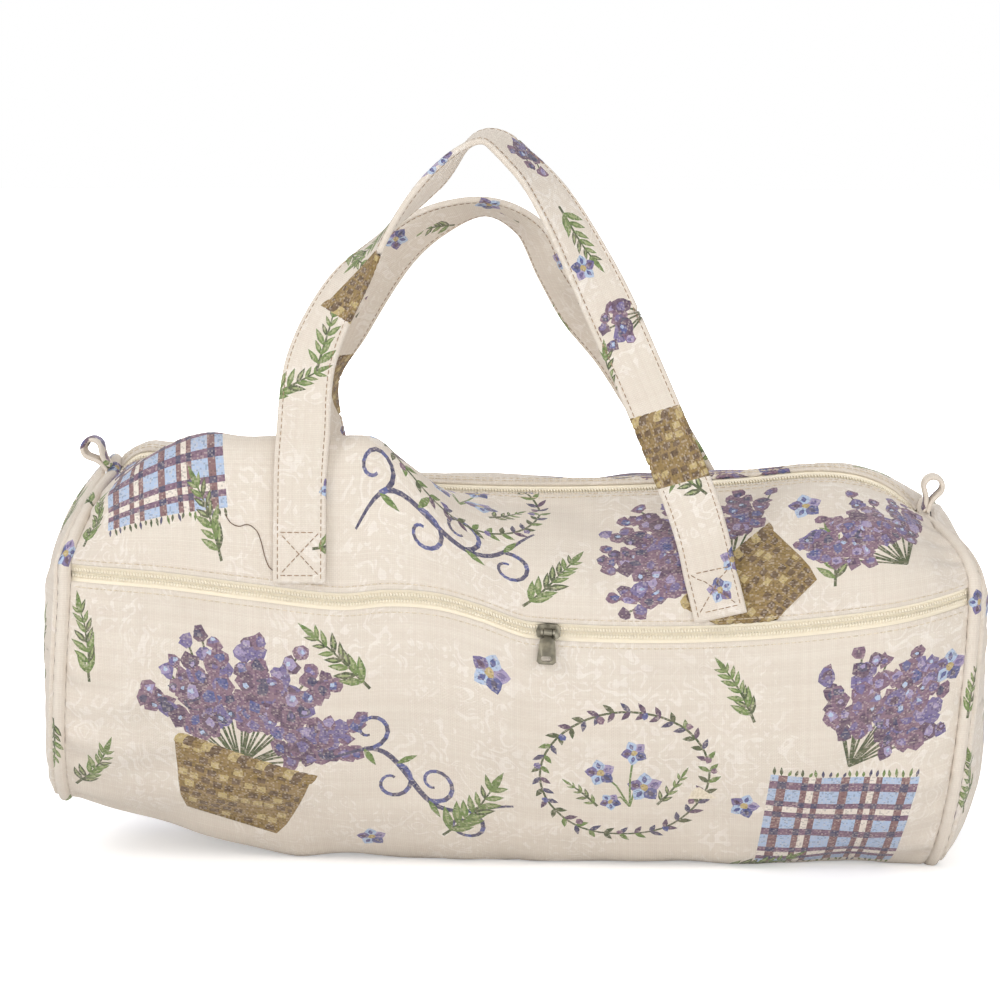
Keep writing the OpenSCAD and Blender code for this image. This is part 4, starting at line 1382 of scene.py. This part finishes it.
# %% Tubes
def tubes(name, lines, radius, shade):
    """Thin round tubes along many lines with the same number of points, as one mesh."""
    lines, sides = np.asarray(lines, float), 6
    many, steps, _ = lines.shape
    along = unit(np.gradient(lines, axis=1))
    helper = np.where(np.abs(along[..., 1:2]) > 0.8, np.array([1.0, 0, 0]), np.array([0, 1.0, 0]))
    side = unit(np.cross(along, helper))
    out = np.cross(along, side)
    a = np.arange(sides) * 2 * math.pi / sides
    radius = np.broadcast_to(np.asarray(radius, float), (steps,))
    ring = np.cos(a)[:, None] * side[:, :, None, :] + np.sin(a)[:, None] * out[:, :, None, :]
    spots = lines[:, :, None, :] + radius[None, :, None, None] * ring
    one = []
    for i in range(steps - 1):
        for j in range(sides):
            b = (j + 1) % sides
            one.append((i * sides + j, i * sides + b, (i + 1) * sides + b, (i + 1) * sides + j))
    caps = [tuple(range(sides))[::-1], tuple(range((steps - 1) * sides, steps * sides))]
    size = steps * sides
    faces = [tuple(c + n * size for c in f) for n in range(many) for f in one + caps]
    mesh = bpy.data.meshes.new(name)
    mesh.from_pydata(spots.reshape(-1, 3) * MM, [], faces)
    mesh.shade_smooth()
    print(f"{name}: {many} tubes, {len(faces)} faces")
    return dressed(name, mesh, shade)


print("coils and threads can be drawn now")

# %% [markdown]
# The tape is a fine twill, so slanting ribs cross it. A picture of twill could be tiled over it, but one
# sine across the slant gives the same ribs. The coil is smooth nylon of almost the same colour, which is why
# a closed zip looks like one plain strip from a step away.

# %% Tape, coil and thread finishes
def tape_finish():
    rib = 0.0009
    material, shader, wire = finish("zip_tape", Roughness=0.8, Sheen_Weight=0.15)
    place = wire.node("ShaderNodeUVMap", {"uv_map": "cloth"}, {})
    slant = flat_place(wire, place, 0) + flat_place(wire, place, 1) * 1.4
    ribs = wire.math("SINE", slant * (2 * math.pi / rib))
    uneven = ribs * 0.12 + 0.12 + place.noise(40, 2, "2D") * 0.3
    feed(uneven.blend(colour4((251, 243, 224)), colour4((238, 226, 201))), shader, "Base Color")
    height = ribs * 0.5 + place.noise(420, 2, "2D")
    feed(height.bump(0.4, 0.0002), shader, "Normal")
    return material


def coil_finish():
    material, shader, wire = finish("zip_coil", Roughness=0.42)
    spot = wire.node("ShaderNodeNewGeometry", {}, {}, "Position")
    shade = spot.noise(600, 1).blend(colour4((252, 245, 228)), colour4((244, 233, 209)))
    feed(shade, shader, "Base Color")
    return material


def thread_finish(name, light, dark):
    material, shader, wire = finish(name, Roughness=0.72, Sheen_Weight=0.2)
    spot = wire.node("ShaderNodeNewGeometry", {}, {}, "Position")
    fibres = spot.noise(900, 2)
    feed(fibres.over(0.5, 0.2).blend(colour4(dark), colour4(light)), shader, "Base Color")
    feed(fibres.bump(0.5, 0.0001), shader, "Normal")
    return material


tape_cloth, nylon = tape_finish(), coil_finish()
tan_thread = thread_finish("tan_thread", (176, 148, 116), (122, 96, 74))
cream_thread = thread_finish("cream_thread", (228, 214, 190), (190, 172, 144))
print("tape, coil and thread finishes made")

# %% [markdown]
# Each tape keeps a little below the cloth: straight across the opening, then under the hem, where it is
# sewn on. Behind the coils the border of one tape reaches past the middle, so that no dark gap shows there.

# %% Tapes
tape_section = [(0.32, 3.1), (0.32, 2.5), (1.7, 2.5), (2.6, 2.45), (3.3, 2.35), (3.5, 1.95), (3.65, 1.75)]
under_hem = [(0.6, 1.8), (1.6, 1.9), (3.4, 2.1), (6.6, 2.5)]


def flat_sheet(name, grid, shade, flip):
    """A mesh of square faces over a grid of places."""
    rows, columns, _ = grid.shape
    index = np.arange(rows * columns).reshape(rows, columns)
    corners = [index[:-1, :-1], index[1:, :-1], index[1:, 1:], index[:-1, 1:]]
    faces = np.stack(corners, axis=-1).reshape(-1, 4)
    if flip:
        faces = faces[:, ::-1]
    mesh = bpy.data.meshes.new(name)
    mesh.from_pydata(grid.reshape(-1, 3) * MM, [], faces)
    steps = [np.linalg.norm(np.diff(grid, axis=k), axis=2).mean(axis=1 - k) for k in (0, 1)]
    spread = net(*(np.concatenate([[0], np.cumsum(step)]) for step in steps))
    mesh.uv_layers.new(name="cloth").data.foreach_set("uv", (spread[faces.ravel()] * MM).ravel())
    mesh.shade_smooth()
    return dressed(name, mesh, shade)


def zip_tape(name, rail, across, out, side, sheet, v_edge, panel):
    """One tape; side is 1 or -1 along across, and v_edge is where the cloth over it ends."""
    line = rail(stations)
    border = (-0.36, 3.12) if side < 0 else (1.2, 3.1)
    rows = [line + side * a * across - depth * out for a, depth in (border, *tape_section)]
    for girth_in, depth in under_hem:
        spots, facing = sheet.at(points(stations, v_edge + side * girth_in))
        rows.append(spots - depth * facing)
    tape = flat_sheet(name + "_strip", np.stack(rows, axis=1), tape_cloth, side < 0)
    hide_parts(name + "_tape")


print("a tape takes", 1 + len(tape_section) + len(under_hem), "rows of places")

# %% [markdown]
# One turn of coil is a bent rod, repeated at its pitch. An array modifier along a curve would bend every
# turn a little. Here each one is placed by its length along the zip, and the two rows are half a pitch apart.

# %% Coils
coil_pitch, coil_radius = 1.3, 0.4
coil_turn = [(2.0, 2.4, -0.3), (1.9, 1.92, -0.24), (1.5, 1.72, -0.12)]
coil_turn += [(1.0, 1.7, 0.06), (0.74, 1.9, 0.2), (0.74, 2.4, 0.3)]


def zip_coil(name, rail, across, out, side):
    line = rail(stations)
    far = lengths(line)
    first = 1.0 + (coil_pitch / 2 if side > 0 else 0)
    at = np.arange(first, far[-1] - 1, coil_pitch)
    turns = []
    for a, depth, shift in coil_turn:
        turns.append(at_length(line, far, at + shift) + side * a * across - depth * out)
    coil = tubes(name + "_turns", np.stack(turns, axis=1), coil_radius, nylon)
    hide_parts(name + "_coil")


front_zip = (front_rail, np.array([0, 0, 1.0]), np.array([0, -1.0, 0]))
top_zip = (top_rail, along_top, out_top)
for name, line_of_zip, side, sheet, v_edge, panel in (
    ("front_zip_lower", front_zip, -1, main_sheet, main_girth, "main_panel"),
    ("front_zip_upper", front_zip, 1, upper_sheet, 0, "upper_front_panel"),
    ("top_zip_front", top_zip, -1, upper_sheet, upper_girth, "upper_front_panel"),
    ("top_zip_back", top_zip, 1, main_sheet, 0, "main_panel"),
):
    zip_tape(name, *line_of_zip, side, sheet, v_edge, panel)
    zip_coil(name, *line_of_zip, side)

# %% [markdown]
# ## Stitches
# Every seam shows its thread. A stitch is a short round dash that dips into the cloth at both ends, and a
# line of them follows the cloth at a fixed distance from the zip or from the strap's edge. A bump in the
# shader would be lighter, but at this size the dash itself is seen.

# %% Seams along the zips
stitch_long, stitch_gap, stitch_rise, stitch_dip = 2.5, 0.45, 0.13, 0.2
stitch_shape = [(0, -stitch_dip), (0.16, stitch_rise * 0.6), (0.5, stitch_rise)]
stitch_shape += [(0.84, stitch_rise * 0.6), (1, -stitch_dip)]


def stitch_lines(places, facings):
    """Dashes along a line on the cloth, each with five points."""
    far = lengths(places)
    first = np.arange(0.4, far[-1] - stitch_long, stitch_long + stitch_gap)
    made = []
    for share, raised in stitch_shape:
        s = first + share * stitch_long
        made.append(at_length(places, far, s) + raised * unit(at_length(facings, far, s)))
    return np.stack(made, axis=1)


zip_rows = [(main_sheet, main_girth - 1.6), (upper_sheet, 1.6), (upper_sheet, upper_girth - 1.4)]
zip_rows += [(upper_sheet, upper_girth - 4.4), (main_sheet, 1.4), (main_sheet, 4.4)]
seam_line = np.linspace(2 - half, half - 2, 400)
dashes = [stitch_lines(*sheet.at(points(seam_line, v))) for sheet, v in zip_rows]
zip_seams = tubes("zip_seams", np.concatenate(dashes), (0.1, 0.19, 0.2, 0.19, 0.1), cream_thread)

# %% Seams of the straps
rim, box_low, box_wide, sewn_down = 9.3, 3.6, 8.6, 24


def along_band(band, corners):
    """Stitches on a strap from corner to corner, each given as length along it and place across its face."""
    made = []
    for (s0, a0), (s1, a1) in zip(corners, corners[1:]):
        count = max(8, int(math.hypot(s1 - s0, a1 - a0)))
        s, a = np.linspace(s0, s1, count), np.linspace(a0, a1, count)
        made.append(stitch_lines(*band.at(points(s, band.front(a)))))
    return made


def strap_seams(name, band):
    """Two seams on each face of a strap, and a crossed box on each foot."""
    end, back, lines = band.length, band.girth / 2, []
    for first, across in ((1.5, rim), (1.5, -rim), (sewn_down, back - rim), (sewn_down, back + rim)):
        lines += along_band(band, [(first, across), (end - first, across)])
    for foot_at, way in ((0, 1), (end, -1)):
        low, high = foot_at + way * box_low, foot_at + way * foot_length
        box = [(low, -box_wide), (low, box_wide), (high, -box_wide), (high, box_wide), (low, -box_wide)]
        lines += along_band(band, box)
    seams = tubes(name, np.concatenate(lines), (0.1, 0.2, 0.22, 0.2, 0.1), tan_thread)


strap_seams("front_strap_seams", front_band)
strap_seams("back_strap_seams", back_band)

# %% [markdown]
# ## Sliders and pulls
# The slider holds both rows of coil between two plates, and the pull hangs from its bar. They could be
# modelled anew, but with the exact shape of the solids they still run on the chain. So their mesh is copied,
# its sharp edges are rounded, and a worn plating is painted on: brighter where it is rubbed.

# %% Plated finish
def plated_finish(name, light, dark):
    material, shader, wire = finish(name, Metallic=0.92)
    spot = wire.node("ShaderNodeNewGeometry", {}, {}, "Position")
    worn = spot.noise(260, 4).over(0.52, 0.16)
    rubbed = wire.node("ShaderNodeNewGeometry", {}, {}, "Pointiness").over(0.53, 0.04)
    tone = worn.blend(colour4(dark), colour4(light))
    feed((rubbed * 0.6).blend(tone, colour4((190, 184, 166))), shader, "Base Color")
    feed(0.36 + spot.noise(700, 2) * 0.24, shader, "Roughness")
    feed(spot.noise(900, 3).bump(0.25, 0.0001), shader, "Normal")
    return material


slider_plate = plated_finish("slider_plate", (118, 112, 98), (62, 58, 48))
pull_plate = plated_finish("pull_plate", (108, 101, 84), (54, 50, 40))
print("plating made for sliders and pulls")

# %% Metal
def solid_copy(node, name, body, shade, rounded):
    """A copy of one solid with a finish of its own."""
    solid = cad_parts[node]
    mesh = solid.data.copy()
    mesh.name = name
    mesh.materials.clear()
    mesh.materials.append(shade)
    mesh.shade_smooth()
    piece = add_object(name, mesh)
    piece.matrix_world = solid.matrix_world.copy()
    if rounded:
        piece.modifiers.new("weld", "WELD").merge_threshold = 1e-6
        bevel = piece.modifiers.new("bevel", "BEVEL")
        bevel.width, bevel.segments = 0.00022, 3
        bevel.limit_method, bevel.angle_limit = "ANGLE", math.radians(32)
        bevel.harden_normals = True
    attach(piece, body)
    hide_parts(node)


for which in ("front", "top"):
    for part, plate in (("slider", slider_plate), ("pull", pull_plate)):
        body = f"{which}_{part}"
        solid_copy(f"{which}_zip_{part}", f"{body}_metal", body, plate, rounded=True)
print("sliders and pulls copied from the solids")

# %% [markdown]
# ## Inside the pocket
# The thin wall behind the pocket is only seen when the zip is open, but it is cloth too. It could be woven
# like the rest. Plain lining needs no pattern, so the solid is copied and takes the look of fine thread.

# %% Lining
lining_cloth = thread_finish("lining_cloth", (226, 214, 194), (206, 192, 168))
solid_copy("pocket_lining", "pocket_wall", "bag", lining_cloth, rounded=False)
print("the pocket wall is cloth")

# %% [markdown]
# ## A loose thread
# One end of the sewing thread hangs out beside the left foot of the front handle and lies on the cloth. A
# curve would have to be lifted off the cloth by hand. A line on the flat cloth follows every wrinkle.

# %% Loose thread
turns = [(-101.2, 4.6), (-103.4, 6.0), (-105.2, 9.4), (-106.6, 13.6), (-108.6, 17.4)]
turns += [(-112.4, 19.4), (-116.4, 18.6), (-120.0, 19.6), (-122.6, 22.4)]
spots, facing = upper_sheet.at(smooth(turns, 6))
thread_line = spots + 0.3 * facing
brown_thread = thread_finish("brown_thread", (120, 92, 66), (78, 58, 44))
loose_end = tubes("loose_thread", [thread_line], 0.2, brown_thread)
thread_line[0] * MM
thread_line * MM

# %% [markdown]
# ## Floor and light
# The bag stands on a white sweep under large soft lamps, so shadows are faint and edges stay soft. The
# floor sends a little light of its own, to the camera and to mirrors only. That makes it white without
# more light on the bag.

# %% Floor
def white_floor():
    material, shader, wire = finish("white_floor", Base_Color=(0.92, 0.92, 0.92, 1), Roughness=0.9)
    spot = wire.node("ShaderNodeNewGeometry", {}, {}, "Position")
    far = wire.node("ShaderNodeVectorMath", {"operation": "LENGTH"}, {0: spot}, "Value")
    seen = wire.node("ShaderNodeLightPath", {}, {}, "Is Camera Ray")
    mirrored = wire.node("ShaderNodeLightPath", {}, {}, "Is Glossy Ray")
    glow = far.over(0.55, 0.25).blend((0.36, 0.36, 0.36, 1), (1, 1, 1, 1))
    feed((seen + mirrored).blend((0, 0, 0, 1), glow), shader, "Emission Color")
    shader.inputs["Emission Strength"].default_value = 1.0
    return material


floor_mesh = bpy.data.meshes.new("floor")
floor_mesh.from_pydata([(-6, -4, 0), (6, -4, 0), (6, 5, 0), (-6, 5, 0)], [], [(0, 1, 2, 3)])
floor_mesh.materials.append(white_floor())
floor = add_object("floor", floor_mesh)
floor.location.z = -0.0002
print("floor laid just under the bag")

# %% Lamps and sky
def lamp(name, at, toward, size, power):
    light = bpy.data.lights.new(name, "AREA")
    light.shape, light.size, light.energy = "DISK", size, power
    holder = add_object(name, light)
    holder.location = at
    holder.rotation_euler = (Vector(toward) - Vector(at)).to_track_quat("-Z", "Y").to_euler()


lamp("key", (-1.5, -1.1, 1.5), (0, 0, 0.1), 1.0, 15)
lamp("front", (0.3, -2.3, 0.4), (0, 0, 0.07), 1.6, 20.5)
lamp("fill", (1.4, -1.4, 1.0), (0, 0, 0.12), 1.4, 5)
lamp("back", (0.3, 2.0, 1.1), (0, 0, 0.1), 1.6, 23)
world = bpy.data.worlds.new("sky")
bpy.context.scene.world = world
world.use_nodes = True
sky = Wire(world.node_tree)
background = world.node_tree.nodes["Background"]
seen = sky.node("ShaderNodeLightPath", {}, {}, "Is Camera Ray")
feed(seen.blend((0.60, 0.60, 0.61, 1), (1, 1, 1, 1)), background, "Color")
background.inputs["Strength"].default_value = 1.0
bpy.context.scene.view_settings.view_transform = "Standard"
print("four lamps and a pale sky")
